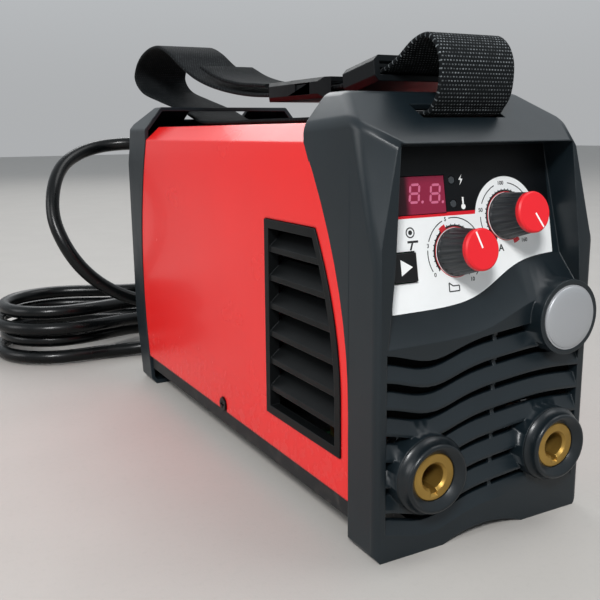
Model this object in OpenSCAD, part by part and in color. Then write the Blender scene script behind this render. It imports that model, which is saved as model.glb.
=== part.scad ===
// Stick welding inverter with a carrying strap and its mains lead tied in a hank.
// +Z is up, the control panel faces -Y, and the origin is on the floor under the middle of the body.
// Inside the modules Y counts from the lower front face; from_front() moves a piece into place.

/* [Body] */
// Width across the plastic bezels
body_w = 113.6; // [108:0.1:126]
// Length from the lower front face to the rear face
body_l = 302; // [294:1:330]
// Height of the flat top of both bezels
body_h = 186.5; // [183:0.5:200]
// Wall of the plastic bezels
wall = 2.4; // [1.8:0.1:3]
// Gap between pieces that meet without touching
seam = 0.4; // [0.3:0.05:0.6]

/* [Front bezel] */
// Depth at which the sloped visor reaches the flat top
visor_d = 40; // [34:1:46]
// Drop from the flat top to the visor's lip above the control recess
lip_drop = 20.5; // [18:0.5:24]
// Depth of the visor's lip behind the lower front face
lip_y = 3.3; // [2:0.1:5]
// Drop from the flat top to where the front face starts to lean back
lean_drop = 66.5; // [60:0.5:80]
// Width of the chamfer between the flat top and the side
top_chamfer_w = 11.4; // [8:0.2:14]
// Height of that chamfer
top_chamfer_h = 14; // [10:0.5:16]
// Depth of the bezel's edge low on the side
edge_y = 19.6; // [17:0.2:21]
// Further depth of that edge at the cover's crease
edge_sweep = 35; // [30:0.5:38]
// Height at which the edge starts to sweep back
edge_z = 60; // [50:1:70]
// Rise of the arch between the feet
arch_h = 4.5; // [2:0.5:7]

/* [Cover and tray] */
// Thickness of the sheet steel
sheet_t = 1; // [0.8:0.1:1.5]
// How far the cover sits inside the bezels' sides
cover_inset = 0.5; // [0.3:0.1:1]
// Drop from the bezels' flat top to the cover's top
cover_drop = 12.5; // [11:0.5:14]
// Drop from the cover's top to its side crease
crease_drop = 8; // [6:0.5:10]
// Width of the sloped shoulder above the crease
crease_w = 9; // [7:0.5:11]
// Height of the cover's lower edge
cover_z = 19.5; // [18:0.5:22]
// Height of the tray's underside
tray_z = 11; // [9:0.5:13]
// Height of the tray's side flanges
flange_h = 21; // [19:0.5:22.5]

/* [Control panel] */
// Tilt of the panel from upright, in degrees
panel_tilt = 10.6; // [8:0.2:13]
// Depth of the panel plane at the level below
panel_y0 = 8.3; // [7.5:0.1:9.5]
// Drop from the flat top to the level at which the panel depth is taken
panel_drop = 86.5; // [85:0.5:88]
// How far the control recess's ends lie in from the sides
recess_in = 12.8; // [11.8:0.1:13]
// Drop from the flat top to the panel's lower edge on the low side
ledge_drop = 87.3; // [86:0.1:88.5]
// Rise of the lower edge towards the badge
ledge_rise = 18; // [14:0.5:19]
// Thickness of the printed label
label_t = 0.5; // [0.3:0.1:0.8]

/* [Knobs and button] */
// Diameter of a knob's cap
knob_d = 16.5; // [16:0.5:19.4]
// Diameter of a knob's skirt
skirt_d = 20; // [19.5:0.5:22]
// Length of a knob
knob_l = 16.5; // [14:0.5:20]
// Diameter of the potentiometer shafts
shaft_d = 6; // [5:0.5:6.4]
// Ribs round a knob
knob_ribs = 22; // [16:1:28]
// Arc force knob, sideways place
arc_x = -10; // [-12:0.5:-9.5]
// Arc force knob, drop from the flat top
arc_drop = 64.9; // [64:0.1:66]
// Current knob, sideways place
current_x = 18.8; // [18:0.1:22]
// Current knob, drop from the flat top
current_drop = 52.1; // [49.5:0.1:53.5]
// Side of the square mode button
button_s = 11.4; // [10:0.2:12]
// Travel of the mode button
button_travel = 1; // [0.6:0.1:1.2]

/* [Front grille] */
// Number of gill slots
gill_n = 7; // [5:1:7]
// Drop from the panel's lower edge to the top gill slot
gill_under = 13.6; // [12:0.2:15]
// Height of the lowest gill slot
gill_low = 20.8; // [20:0.2:24]
// Height of one gill slot
gill_slot = 4.2; // [3:0.1:4.8]
// Depth of the scoop under each slot
gill_depth = 2.6; // [1.5:0.1:3]
// Flat land left above the next slot
gill_land = 1.2; // [0.8:0.1:2]
// Thickness of the front wall that carries the gills
grille_wall = 5.5; // [5:0.1:7]

/* [Output sockets] */
// How far the sockets' axes lie in from the sides
socket_in = 23.8; // [23:0.1:26]
// Height of the sockets
socket_z = 35.65; // [35:0.05:38]
// Bore that takes the cable plug's pin
socket_bore = 10.4; // [9:0.1:11]
// Outer diameter of the brass
brass_d = 20; // [19:0.5:21]
// Outer diameter of the insulating ring
ring_d = 28; // [27.5:0.5:30]
// How far the insulating ring stands out
ring_proud = 8.5; // [7:0.5:10]
// Diameter of the collar moulded in the bezel
collar_d = 33; // [32:0.5:36]
// How far that collar stands out
collar_proud = 4.5; // [3:0.5:5.5]
// Diameter of the round badge
badge_d = 28; // [26:0.5:31]

/* [Side louvres] */
// Lower edge of a louvre
louvre_z0 = 36.5; // [36:0.5:40]
// Upper edge of a louvre
louvre_z1 = 131; // [120:1:132]
// Rear edge of a louvre
louvre_back = 94; // [88:1:98]
// Front edge of a louvre, low down
louvre_front = 26; // [25.5:0.2:28]
// Further depth of the front edge at the top
louvre_sweep = 20; // [18:0.5:22]
// Slats in a louvre
slat_n = 6; // [4:1:6]
// Width of a louvre's frame
frame_w = 4; // [3:0.2:5]
// How deep the slats reach inwards
slat_d = 9; // [7:0.5:10]

/* [Strap] */
// Width of the webbing
strap_w = 38; // [34:1:40]
// Thickness of the webbing
strap_t = 2.2; // [1.6:0.1:2.4]

/* [Fan and rear] */
// Side of the square fan
fan_s = 80; // [70:1:84]
// Depth of the fan
fan_t = 25; // [20:1:28]
// Height of the fan's axis
fan_z = 72; // [70:1:76]
// Blades on the fan
blade_n = 7; // [5:1:9]
// Width of the rocker switch's flange
switch_w = 26; // [24:0.5:28]
// Height of the rocker switch's flange
switch_h = 30; // [29:0.5:31]
// Height of the rocker switch
switch_z = 136; // [134:0.5:138]

/* [Mains lead] */
// Diameter of the mains lead
lead_d = 10; // [9:0.1:10.2]
// Straight run of the hank
hank_run = 150; // [150:1:160]
// Inner radius of the hank's folds
hank_r = 38; // [36:0.5:40]
// Diameter of the mains plug
plug_d = 38; // [34:0.5:38]

/* [Hidden] */
$fn = 64;
tiny = 0.01;
// Reach of cutting tools: just past a face, and past a whole piece
over = 1;
beyond = 60;
fit = 0.3;
hole_gap = 0.6;
curve_n = 14;
wave_n = 26;

half_w = body_w / 2;
cover_half = half_w - cover_inset;
cover_top = body_h - cover_drop;
crease_z = cover_top - crease_drop;
recess_half = half_w - recess_in;
lip_z = body_h - lip_drop;
lean_z = body_h - lean_drop;
// Outer face of what lies against the cover's inside
inner_half = cover_half - sheet_t - fit;

// Feet and the arch between them
foot_chamfer_w = 3;
foot_chamfer_h = 4;
foot_in = 30;
arch_in = 8;
arch_power = 0.8;

// Corner facet beside the control recess
facet_top_y = 20.7;
facet_top_drop = 0.5;
facet_low_y = 0.2;
facet_low_rise = 3.5;
facet_in = 1.2;

// Rear bezel seen from the side: how far in from the rear face, and at which heights
rear_foot_in = 8;
rear_low_in = 6.5;
rear_low_z = 10;
rear_face_z0 = 46;
rear_face_z1 = 150;
rear_brow_in = 3.5;
rear_brow_drop = 28;
rear_edge = 19;
rear_mid_z = 75;
rear_sweep_up = 23;
rear_sweep_down = 5;
rear_sweep_reach = 1.4;
rear_plateau = 12;
rear_slope_l = 19;
rear_slope_h = 9.5;

// Lip under the cover's edge
lip_l = 4;
lip_t = 1.8;
lip_z0 = 44;

// Tray tongues and the shelves that carry them
tray_t = 1.5;
tongue_half = 30;
tongue_l = 12;
shelf_half = 34;

// Screws as [head diameter, head thickness, shank diameter, shank length]
side_screw = [7.6, 2.2, 3.4, 9];
rear_screw = [6.6, 1.2, 3, 11];
tray_screw = [6, 1.8, 3, 7];
screw_gap = 0.4;
side_screw_y = body_l / 2 - 1.5;
side_screw_z = cover_z + 3.5;
rear_screw_x = 48;
rear_screw_zs = [50, 118];
rear_boss_d = 9;
rear_boss_l = 14;
tray_screw_x = 22;
tray_screw_in = 7;
cross_w = 0.14;
cross_l = 0.62;

// Louvre insert
louvre_proud = 0.2;
louvre_lean = 1;
frame_depth = 3.4;
keep_w = 2.4;
keep_t = 1.6;
keep_clear = 30;
slat_rise = 0.85;
slat_set = 0.8;
slat_t = 2.6;
slat_tip_t = 2;
slat_drop = 1.7;

// Control recess, label and board
recess_gap = 0.5;
recess_flare = 9.5;
recess_top = lip_z - recess_gap;
panel_z0 = body_h - panel_drop;
ledge_z = body_h - ledge_drop;
ledge_turn = 142.3;
ledge_mid_x = 11;
ledge_ease = 8;
label_gap = 0.6;
label_top_gap = 1.5;
panel_mid_drop = 58.5;
panel_mid_z = body_h - panel_mid_drop;
pcb_back = 12;
pcb_t = 1.6;
pcb_w = 84;
pcb_h = 46;
window_side = 0.6;
window_w = 30.6;
window_x0 = -recess_half + window_side;
window_x1 = window_x0 + window_w;
window_drop = 41.5;
window_h = 15;
window_x = (window_x0 + window_x1) / 2;
window_z = body_h - window_drop;
digits_in = 9;
digits_x = window_x1 - digits_in;
digits_w = 20;
digits_h = 13.5;
lamp_d = 3;
lamp_flange = 1;
lamp_gap = 4;
lamp_x = window_x1 + lamp_gap;
lamp_offsets = [-4.1, 5.4];
lamp_zs = [for (d = lamp_offsets) window_z + d];

// Knobs, shafts and button
arc_z = body_h - arc_drop;
current_z = body_h - current_drop;
knob_places = [[arc_x, arc_z], [current_x, current_z]];
knob_lift = label_t + seam;
skirt_t = 1.6;
rib_depth = 0.55;
cap_t = 2.4;
cap_over = 0.2;
cap_chamfer = 0.7;
shaft_in = 10;
shaft_foot = 2;
pot_d = 16;
pot_gap = 2;
pot_lugs = [16, 8, 5];
pot_lug_y = -11;
button_in = 7.4;
button_x = -recess_half + button_in;
button_drop = 69;
button_z = body_h - button_drop;
button_proud = 1.6;
stem_d = 4;
switch_s = 6;
switch_t = 2.6;
switch_cap_d = 3.4;
switch_cap_z = 3.6 - pcb_back;

// Gills
gill_half = 51.5;
gill_top = ledge_z - gill_under;
gill_pitch = (gill_top - gill_low) / (gill_n - 1);
gill_h = gill_pitch - gill_slot - gill_land;
gill_turn = 180 - atan(gill_depth / gill_h);
rib_x = 5;
rib_w = 1.8;
grille_top_drop = 2;

// Sockets and badge
socket_x = half_w - socket_in;
brass_set = 1.5;
brass_proud = ring_proud - brass_set;
bore_end = 4;
ring_land = 2;
neck_d = ring_d - 2 * ring_land;
neck_l = 5;
ring_round = 1.2;
shoulder_y = 24;
stud_d = 12;
stud_end = 36;
nut_t = 5;
clamp_nut_t = 4.4;
clamp_nut_wall = 3;
clamp_nut_w = neck_d + 2 * clamp_nut_wall;
stud_nut_wall = 3.5;
stud_nut_w = stud_d + 2 * stud_nut_wall;
badge_in = 18.8;
badge_x = half_w - badge_in;
badge_under = 7.2;
badge_z = ledge_z - badge_under;
badge_dome = 1.9;
badge_seat = 1.2;
badge_rim = 0.3;
badge_step = 0.6;
boss_wall = 2.25;
boss_d = badge_d + 2 * boss_wall;
boss_proud = 6;

// Strap slots and buckle
strap_slot_gap = 2.5;
strap_slot_w = strap_w + 2 * strap_slot_gap;
strap_lift = 2.3;
strap_z = cover_top + strap_lift;
strap_run_y = 52;
strap_run_in = 64;
strap_run_n = 4;
slot_y0 = 20;
slot_y1 = 30;
slot_mid = (slot_y0 + slot_y1) / 2;
slot_cut = 14;
visor_rib_y = 49;
visor_rib_drop = 2.3;
strap_pass = 1.5;
rear_slot_in = [30, 12];
rear_slot_y0 = body_l - rear_slot_in[0];
rear_slot_y1 = body_l - rear_slot_in[1];
rear_slot_cut = 13;
visor_turn = atan((body_h - lip_z) / (visor_d - lip_y));
buckle_in = [212, 176, 148];
buckle_y0 = body_l - buckle_in[0];
buckle_y1 = body_l - buckle_in[1];
buckle_y2 = body_l - buckle_in[2];
buckle_h = 9.6;
buckle_side = 4;
buckle_edge = 2;
buckle_taper = [4, 6];
clip_side = 3;
clip_taper = [3, 5];
latch_in = 8;
latch_l = 14;
latch_h = 2.2;
latch_arm = 2.2;
latch_gap = 0.6;
latch_root = 4;
latch_set = 0.6;
bar_slot = [6, 7];
slide_y0 = 50;
slide_y1 = 75;
slide_h = 11;
slide_side = 3;
slide_edge = 2.4;
slide_bar = 5;
slide_slot = 6;
web_gap = 1.6;
web_side = 3;
strap_steps = 3;
tail_narrow = 2;

// Fan, switch and gland
fan_y1 = rear_face_y(fan_z - fan_s / 2) - wall - seam;
fan_bore = fan_s - 5;
fan_strut = 4;
hub_d = 32;
rotor_gap = 1.2;
rotor_set = 1.5;
rotor_y0 = fan_y1 - fan_t + rotor_set;
rotor_y1 = fan_y1 - fan_strut - rotor_gap;
blade_t = 1.8;
blade_l = 26;
blade_turn = 38;
pin_d = 4;
pin_gap = 0.05;
grille_first_d = 20;
grille_step = 14;
grille_slot = 4.5;
spoke_w = 4;
switch_x = 26;
switch_lip = 2;
switch_depth = 22;
switch_frame_t = 2.4;
rocker_w = 15;
rocker_h = 20.6;
rocker_gap = 0.5;
rocker_sweep = 1.3;
rocker_throw = 16;
rocker_pin = 2.4;
rocker_pin_l = 2;
rocker_well = 12;
rocker_root = [3, 4];
rocker_face = 3.4;
rocker_side = 3.6;
rocker_tip = [6, 0.4];
pivot_y = body_l - 2.4;
gland_x = -8;
gland_z = 160;
gland_d = 24;
gland_l = 9;
gland_flange = 3;
gland_wall = 1.8;
gland_in = 14;
gland_neck_d = lead_d + 2 * gland_wall;
gland_boss = 4;
relief_l = 30;
relief_d = 17;
relief_wall = 1.2;
relief_ribs = 5;

// Power electronics: they fill the room between the sockets and the fan
board_z = 30;
board_t = 1.6;
board_top = board_z + board_t;
board_y0 = 40;
board_gap = 9.6;
board_y1 = fan_y1 - fan_t - board_gap;
board_half = 46;
standoff_d = 7;
standoff_in = [6, 8];
capacitor_d = 28;
capacitor_h = 48;
capacitor_pitch = 31;
capacitor_in = 24;
capacitor_y = board_y1 - capacitor_in;
core_l = 46;
core_w = 62;
core_h = 52;
core_leg = 16;
core_wall = 8;
core_yoke = 9;
core_gap = 8;
winding_over = 6;
core_y0 = capacitor_y - capacitor_d / 2 - core_gap - winding_over - core_l;
sink_y0 = 66;
sink_gap = 6;
sink_l = core_y0 - winding_over - sink_gap - sink_y0;
sink_h = 82;
sink_in = 19;
sink_base = 6;
sink_out = 45;
fin_n = 9;
fin_t = 1.6;
transistor = [5, 16, 21];
transistor_up = 30;
transistor_z = board_top + transistor_up;
transistor_in = 4;
transistor_pitch = 20;
transistor_n = floor((sink_l - 2 * transistor_in - transistor[1]) / transistor_pitch) + 1;
transistor_ys = [for (i = [0 : transistor_n - 1]) sink_y0 + transistor_in + i * transistor_pitch];
rectifier_size = [9, 24, 22];
rectifier_up = 58;
rectifier_z = board_top + rectifier_up;
choke_y = 48;
choke_d = 32;
choke_bore = 16;
choke_l = 18;
bus_t = 2.5;
bus_w = 16;
bus_clear = 1;
bus_top = socket_z + stud_nut_w / cos(30) / 2 + bus_clear + bus_t;
bus_in = 2;
bus_foot_l = 18;
bus_foot = [board_y0 + bus_in, board_y0 + bus_in + bus_foot_l];

// Hank, tie and plug
hank_x = -15;
hank_y = 402;
hank_step = lead_d + 2.5;
hank_rise = lead_d + 0.8;
hank_draw = 26;
hank_lift = 1.2;
hank_layers = 4;
run_share = 0.26;
half_run = run_share / 2;
turn_start = half_run;
turn_end = hank_layers - half_run;
loop_rings = 24;
hank_out = hank_r + hank_step;
tie_t = 0.8;
tie_w = 8;
tie_gap = 1.6;
tie_near_cut = 12;
tie_far_cut = 2.5;
plug_x = 30;
plug_y = 325;
plug_l = 38;
plug_tail = 24;
plug_lift = 0.4;
plug_rim = [16, 14];
plug_tail_wall = [1.4, 3];
plug_tail_end = 6;
plug_shoulder = 4;
plug_waist_in = [5, 4];
plug_pin_d = 4.8;
plug_pin_l = 19;
plug_pin_in = 8;
plug_pin_x = 9.5;

// Free stretch of the mains lead, from the strain relief to the hank, measured from the front face
lead_route = [
    [-8, 341, 160], [-8, 352, 160], [-11.5, 370, 161], [-20.5, 384, 162], [-34, 394, 162], [-51, 398, 160],
    [-68, 395, 155], [-83, 386, 146], [-93, 374, 131], [-97, 363, 111], [-93, 354, 92], [-83, 349, 74],
    [-68, 347, 59], [-49, 346, 48], [-28, 347, 42], [-5, 350, 39.5], [18, 352, 39]];
// Last stretch of the lead, from the hank to the plug
tail_route = [
    [-60, 352, 6.2], [-46, 349, 6.5], [-32, 344, 8.5], [-18, 337, 12],
    [-5, 331, 15.5], [7, 327, 18], [19, 325, 19.4], [30, 325, 19.4]];

// Side view of the strap as [depth, height above the bezels' flat top, lean to the left], front loop first
strap_front = [
    [24, -9.4, 0], [18.4, -6.6, 0], [15, -1.8, 0], [13.8, 4.7, 0], [14.2, 11.2, 0], [17.4, 17.2, 0],
    [23.4, 20.8, 0], [32.4, 18.8, 0], [42.5, 13, 0], [52, 9.4, 0], [63, 7.4, 0], [75, 5.6, 0]];
// The level stretch and the rear loop count their depth from the rear face
strap_rear = [
    [-206, 4, 0], [-182, 4, 0], [-156, 3.8, 0], [-136, 3.6, 1], [-116, 5, 3.5], [-96, 8, 7],
    [-80, 12, 11], [-66, 17.6, 15], [-54, 25.4, 19], [-42, 33, 21.5], [-26, 38, 22], [-8, 38.4, 22],
    [10, 35, 22], [22, 28.8, 22], [26, 20.6, 22], [20, 12, 19], [7, 6, 12], [-5, 1.4, 6], [-15, -2.6, 1.5],
    [-26, -6.4, 0], [-40, -9.4, 0]];
// Free end of the webbing above the strap, counted from the rear face too
tail_flap = [
    [-136, 8.6, 1], [-124, 9.8, 2], [-110, 10.8, 4], [-96, 13.4, 7], [-84, 17, 10], [-72, 22.5, 13]];

// Helpers

// Moves a piece drawn from the lower front face to its place round the origin
module from_front() translate([0, front_y, 0]) children();

// Extrudes a [depth, height] outline across the width
module along_x(w) rotate([90, 0, 90]) linear_extrude(w, center = true) children();

// Extrudes a [sideways, height] outline from depth y0 to y1
module along_y(y0, y1) translate([0, y1, 0]) rotate([90, 0, 0]) linear_extrude(y1 - y0) children();

// Upright cylinder turned to run along Y from y0 to y1
module rod_y(x, z, d, y0, y1) translate([x, y1, z]) rotate([90, 0, 0]) cylinder(d = d, h = y1 - y0);

// Places a child on the control panel: local X right, Y up the panel, Z out of it
module on_panel(x, z) translate([x, panel_y(z), z]) rotate([90 - panel_tilt, 0, 0]) children();

// A block between two corners
module block(a, b) translate(a) cube(b - a);

// Both the piece and its twin on the other side
module both_sides() {
    children();
    mirror([1, 0, 0]) children();
}

function unit(v) = v / norm(v);
function left_of(v) = [-v[1], v[0]];

// Corner of an outline moved inwards by d, for points that run anticlockwise
function inset_corner(a, b, c, d) =
    let (n = left_of(unit(b - a)), m = left_of(unit(c - b))) b + (n + m) * d / (1 + n * m);
function inset(pts, d) =
    let (n = len(pts))
    [for (i = [0 : n - 1]) inset_corner(pts[(i + n - 1) % n], pts[i], pts[(i + 1) % n], d)];

function steps(a, b, n) = [for (i = [0 : n]) a + (b - a) * i / n];

// Depths at a height: of the front and rear bezels' edges, of the rear face low down, and of the panel
function front_edge(z) =
    edge_y + edge_sweep * pow(max(0, min(z, crease_z) - edge_z) / (crease_z - edge_z), 2);
function rear_edge_y(z) =
    let (h = min(z, crease_z) - rear_mid_z)
    body_l - rear_edge - (h > 0 ? rear_sweep_up * pow(h / (cover_top - rear_mid_z), 2)
                                : rear_sweep_down * pow(h / rear_mid_z * rear_sweep_reach, 2));
function rear_face_y(z) =
    body_l - rear_low_in * max(0, rear_face_z0 - z) / (rear_face_z0 - rear_low_z);
function panel_y(z) = panel_y0 + (z - panel_z0) * tan(panel_tilt);

// Smooth curve through points: a Catmull-Rom spline with k steps to a span
function spline_at(a, b, c, d, t) =
    0.5 * (2 * b + (c - a) * t + (2 * a - 5 * b + 4 * c - d) * t * t + (3 * b - a - 3 * c + d) * t * t * t);
function spline(p, k) =
    let (n = len(p) - 1)
    [for (i = [0 : n - 1]) for (j = [0 : k - 1])
        spline_at(i > 0 ? p[i - 1] : 2 * p[0] - p[1], p[i], p[i + 1],
                  i + 2 <= n ? p[i + 2] : 2 * p[n] - p[n - 1], j / k),
     p[n]];
function ring_spline(p, k) =
    let (n = len(p))
    [for (i = [0 : n - 1]) for (j = [0 : k - 1])
        spline_at(p[(i + n - 1) % n], p[i], p[(i + 1) % n], p[(i + 2) % n], j / k)];

// One round tube along a path, closed at both ends, with its rings square to the path
module tube(path, d, sides) {
    n = len(path);
    points = [for (i = [0 : n - 1])
        let (t = unit(path[min(i + 1, n - 1)] - path[max(i - 1, 0)]),
             u = unit(cross(t, [0, 0, 1])), v = cross(u, t))
        for (k = [0 : sides - 1]) path[i] + d / 2 * (u * cos(360 * k / sides) + v * sin(360 * k / sides))];
    walls = [for (i = [0 : n - 2]) for (k = [0 : sides - 1])
        let (a = i * sides + k, b = i * sides + (k + 1) % sides)
        each [[a, b, b + sides], [a, b + sides, a + sides]]];
    caps = [for (k = [1 : sides - 2])
        each [[0, k + 1, k], [(n - 1) * sides, (n - 1) * sides + k, (n - 1) * sides + k + 1]]];
    polyhedron(points, concat(walls, caps));
}

// A flat band along a side view of [depth, height, lean]; a closed band joins its last ring to its first
module band(path, w, t, closed) {
    n = len(path);
    flat = [for (p = path) [p[0], p[1]]];
    ends = closed ? n : n - 1;
    points = [for (i = [0 : n - 1])
        let (a = closed ? flat[(i + n - 1) % n] : flat[max(i - 1, 0)],
             b = closed ? flat[(i + 1) % n] : flat[min(i + 1, n - 1)],
             m = left_of(unit(b - a)) * t / 2)
        each [[-w / 2 - path[i][2], flat[i][0] + m[0], flat[i][1] + m[1]],
              [w / 2 - path[i][2], flat[i][0] + m[0], flat[i][1] + m[1]],
              [w / 2 - path[i][2], flat[i][0] - m[0], flat[i][1] - m[1]],
              [-w / 2 - path[i][2], flat[i][0] - m[0], flat[i][1] - m[1]]]];
    walls = [for (i = [0 : ends - 1]) for (k = [0 : 3])
        let (next = (k + 1) % 4, after = ((i + 1) % n) * 4,
             a = i * 4 + k, b = i * 4 + next, c = after + k, d = after + next)
        each [[a, d, b], [a, c, d]]];
    last = (n - 1) * 4;
    caps = closed ? [] : [[0, 1, 2], [0, 2, 3], [last, last + 2, last + 1], [last, last + 3, last + 2]];
    polyhedron(points, concat(walls, caps));
}

// Casing

// Outline of a bezel seen from the front
function bezel_face() = concat(
    [[-half_w, foot_chamfer_h], [-half_w + foot_chamfer_w, 0], [-foot_in, 0]],
    [for (s = steps(-1, 1, 8)) [s * (foot_in - arch_in), arch_h * pow(cos(90 * s), arch_power)]],
    [[foot_in, 0], [half_w - foot_chamfer_w, 0], [half_w, foot_chamfer_h],
     [half_w, body_h - top_chamfer_h], [half_w - top_chamfer_w, body_h],
     [-half_w + top_chamfer_w, body_h], [-half_w, body_h - top_chamfer_h]]);

// Outlines of the front and rear bezels seen from the side; extra moves the open edge away from the face
function front_side(extra) = concat(
    [[0, 0]],
    [for (z = edge_heights()) [front_edge(z) + extra, z]],
    [[front_edge(crease_z) + extra, body_h], [visor_d, body_h], [lip_y, lip_z], [0, lean_z]]);
function rear_side(extra) =
    let (top = rear_edge_y(crease_z))
    concat(
    [[body_l - rear_foot_in, 0], [body_l - rear_low_in, rear_low_z], [body_l, rear_face_z0],
     [body_l, rear_face_z1], [body_l - rear_brow_in, body_h - rear_brow_drop],
     [top + rear_plateau + rear_slope_l, body_h - rear_slope_h], [top + rear_plateau, body_h],
     [top - extra, body_h]],
    [for (z = steps(crease_z, 0, curve_n)) [rear_edge_y(z) - extra, z]]);

// Outline of the cover seen from the front, drawn in by d, with its lower edge moved down by drop
function cover_face(d, drop) = inset([
    [-cover_half, cover_z - drop - d], [cover_half, cover_z - drop - d], [cover_half, crease_z],
    [cover_half - crease_w, cover_top], [-cover_half + crease_w, cover_top], [-cover_half, crease_z]], d);

// Heights at which the curved edges of the bezels and the cover have their points
function edge_heights() = steps(0, crease_z, curve_n);

// A bezel as a block, and the hollow in it
module bezel_solid(side, d) intersection() {
    along_x(body_w + over) polygon(inset(side, d));
    along_y(-over, body_l + over) polygon(inset(bezel_face(), d));
}

// A thin lip that the cover slides over, along an edge whose [depth, height] points are given
module cover_lip(edge) intersection() {
    along_x(body_w) polygon(concat(
        [for (p = edge) [p[0] + lip_l, p[1]]],
        [for (i = [len(edge) - 1 : -1 : 0]) [edge[i][0] - lip_l, edge[i][1]]]));
    along_y(0, body_l) difference() {
        polygon(cover_face(sheet_t + fit, 0));
        polygon(cover_face(sheet_t + fit + lip_t, over));
    }
}
function lip_heights() = steps(lip_z0, cover_top, curve_n);

// Half space beyond the flat corner facet beside the control recess, moved into the body by d
module corner_facet(d) {
    top = [-half_w, facet_top_y, body_h - top_chamfer_h - facet_top_drop];
    low = [-half_w, facet_low_y, lean_z + facet_low_rise];
    inner = [-recess_half - facet_in, lip_y, lip_z];
    n = unit(cross(inner - top, low - top));
    outward = n[1] < 0 ? n : -n;
    translate(top) rotate([0, acos(outward[2]), atan2(outward[1], outward[0])])
        translate([-beyond, -beyond, -d]) cube(2 * beyond);
}

// Height of the panel's lower edge, which sweeps up towards the badge
function ledge(x) = ledge_z + ledge_rise / (1 + exp(-(x - ledge_mid_x) / ledge_ease));

// The control recess, grown by g: in front of the tilted panel, above the sloping ledge, and wider low down
module recess(g) {
    narrow = recess_half + g;
    wide = narrow + recess_flare;
    intersection() {
        along_x(2 * wide) polygon([
            [-beyond, beyond], [panel_y(beyond) + g, beyond],
            [panel_y(recess_top + g) + g, recess_top + g], [-beyond, recess_top + g]]);
        along_y(-beyond, beyond) polygon([
            [-wide, beyond], [wide, beyond], [narrow, recess_top + g], [-narrow, recess_top + g]]);
        rotate([ledge_turn, 0, 0]) translate([0, 0, -body_l]) linear_extrude(2 * body_l) polygon(concat(
            [for (x = steps(-wide, wide, wave_n))
                [x, panel_y(ledge(x)) * cos(ledge_turn) + ledge(x) * sin(ledge_turn) - g]],
            [[wide, body_l], [-wide, body_l]]));
    }
}

// Height of a gill above its own level, along the grille
function gill_wave(x) = -6 * exp(-pow((x + 30) / 17, 2)) + 2.8 * exp(-pow((x - 32) / 28, 2));

// A band that follows the gill wave between two heights
module gill_band(z, low, high) polygon(concat(
    [for (x = steps(-gill_half, gill_half, wave_n)) [x, z + gill_wave(x) + low]],
    [for (x = steps(gill_half, -gill_half, wave_n)) [x, z + gill_wave(x) + high]]));

// One gill: a slot through the wall, and a scoop that rises out of it to the front face
module gill(z) {
    difference() {
        along_y(-over, grille_wall + over) gill_band(z, -gill_slot / 2, gill_slot / 2);
        block([rib_x - rib_w / 2, gill_depth, z - beyond],
              [rib_x + rib_w / 2, grille_wall + 2 * over, z + beyond]);
    }
    intersection() {
        along_y(-over, grille_wall) gill_band(z, -gill_slot / 2 - gill_h - gill_land / 2, 0);
        rotate([gill_turn, 0, 0]) translate([0, 0, -z - beyond]) linear_extrude(2 * beyond) polygon(concat(
            [for (x = steps(-gill_half - over, gill_half + over, wave_n + 1))
                [x, gill_depth * cos(gill_turn) + (z + gill_wave(x) - gill_slot / 2) * sin(gill_turn)]],
            [[gill_half + over, beyond], [-gill_half - over, beyond]]));
    }
}

// Shelf inside a bezel for the tray's tongue
module tray_shelf(y0, y1) block([-shelf_half, y0, arch_h + over], [shelf_half, y1, tray_z]);

// Rib across the visor behind the strap's slot, with a way for the strap under it
module visor_rib() difference() {
    block([-half_w, visor_rib_y, cover_top - visor_rib_drop], [half_w, visor_rib_y + wall, body_h]);
    block([-strap_slot_w / 2, visor_rib_y - over, 0],
          [strap_slot_w / 2, visor_rib_y + wall + over, strap_z + strap_t / 2 + strap_pass]);
}

module front_bezel() color("#2c3033") from_front() difference() {
    union() {
        difference() {
            union() {
                difference() {
                    bezel_solid(front_side(0), 0);
                    difference() {
                        bezel_solid(front_side(beyond), wall);
                        both_sides() corner_facet(wall);
                    }
                }
                intersection() {
                    bezel_solid(front_side(0), 0);
                    union() {
                        recess(wall);
                        block([-half_w, 0, wall], [half_w, grille_wall, ledge_z - grille_top_drop]);
                        tray_shelf(wall, edge_y - over);
                        visor_rib();
                    }
                }
                cover_lip([for (z = lip_heights()) [front_edge(z), z]]);
            }
            recess(0);
            for (i = [0 : gill_n - 1]) gill(gill_top - i * gill_pitch);
            both_sides() corner_facet(0);
            translate([0, slot_mid, lip_z + (slot_mid - lip_y) * tan(visor_turn)])
                rotate([visor_turn, 0, 0])
                cube([strap_slot_w, (slot_y1 - slot_y0) / cos(visor_turn), slot_cut], center = true);
        }
        for (x = [-socket_x, socket_x]) rod_y(x, socket_z, collar_d, -collar_proud, grille_wall);
        rod_y(badge_x, badge_z, boss_d, -boss_proud, grille_wall);
    }
    for (x = [-socket_x, socket_x]) rod_y(x, socket_z, neck_d + 2 * fit, -beyond, beyond);
    rod_y(badge_x, badge_z, badge_d + 2 * fit, -beyond, -boss_proud + badge_seat);
    on_panel(0, panel_mid_z) linear_extrude(beyond, center = true) panel_cuts();
    tray_screw_places(true) cylinder(d = tray_screw[2] + screw_gap, h = beyond, center = true);
}

// Ring slots in front of the fan, left open between four spokes
module fan_grille() {
    for (d = [grille_first_d : grille_step : fan_bore - grille_step]) difference() {
        rod_y(0, fan_z, d + 2 * grille_slot, fan_y1, body_l + over);
        rod_y(0, fan_z, d, fan_y1 - over, body_l + 2 * over);
        for (a = [45, 135]) translate([0, body_l, fan_z]) rotate([0, a, 0])
            cube([spoke_w, beyond, 2 * fan_s], center = true);
    }
}

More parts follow.
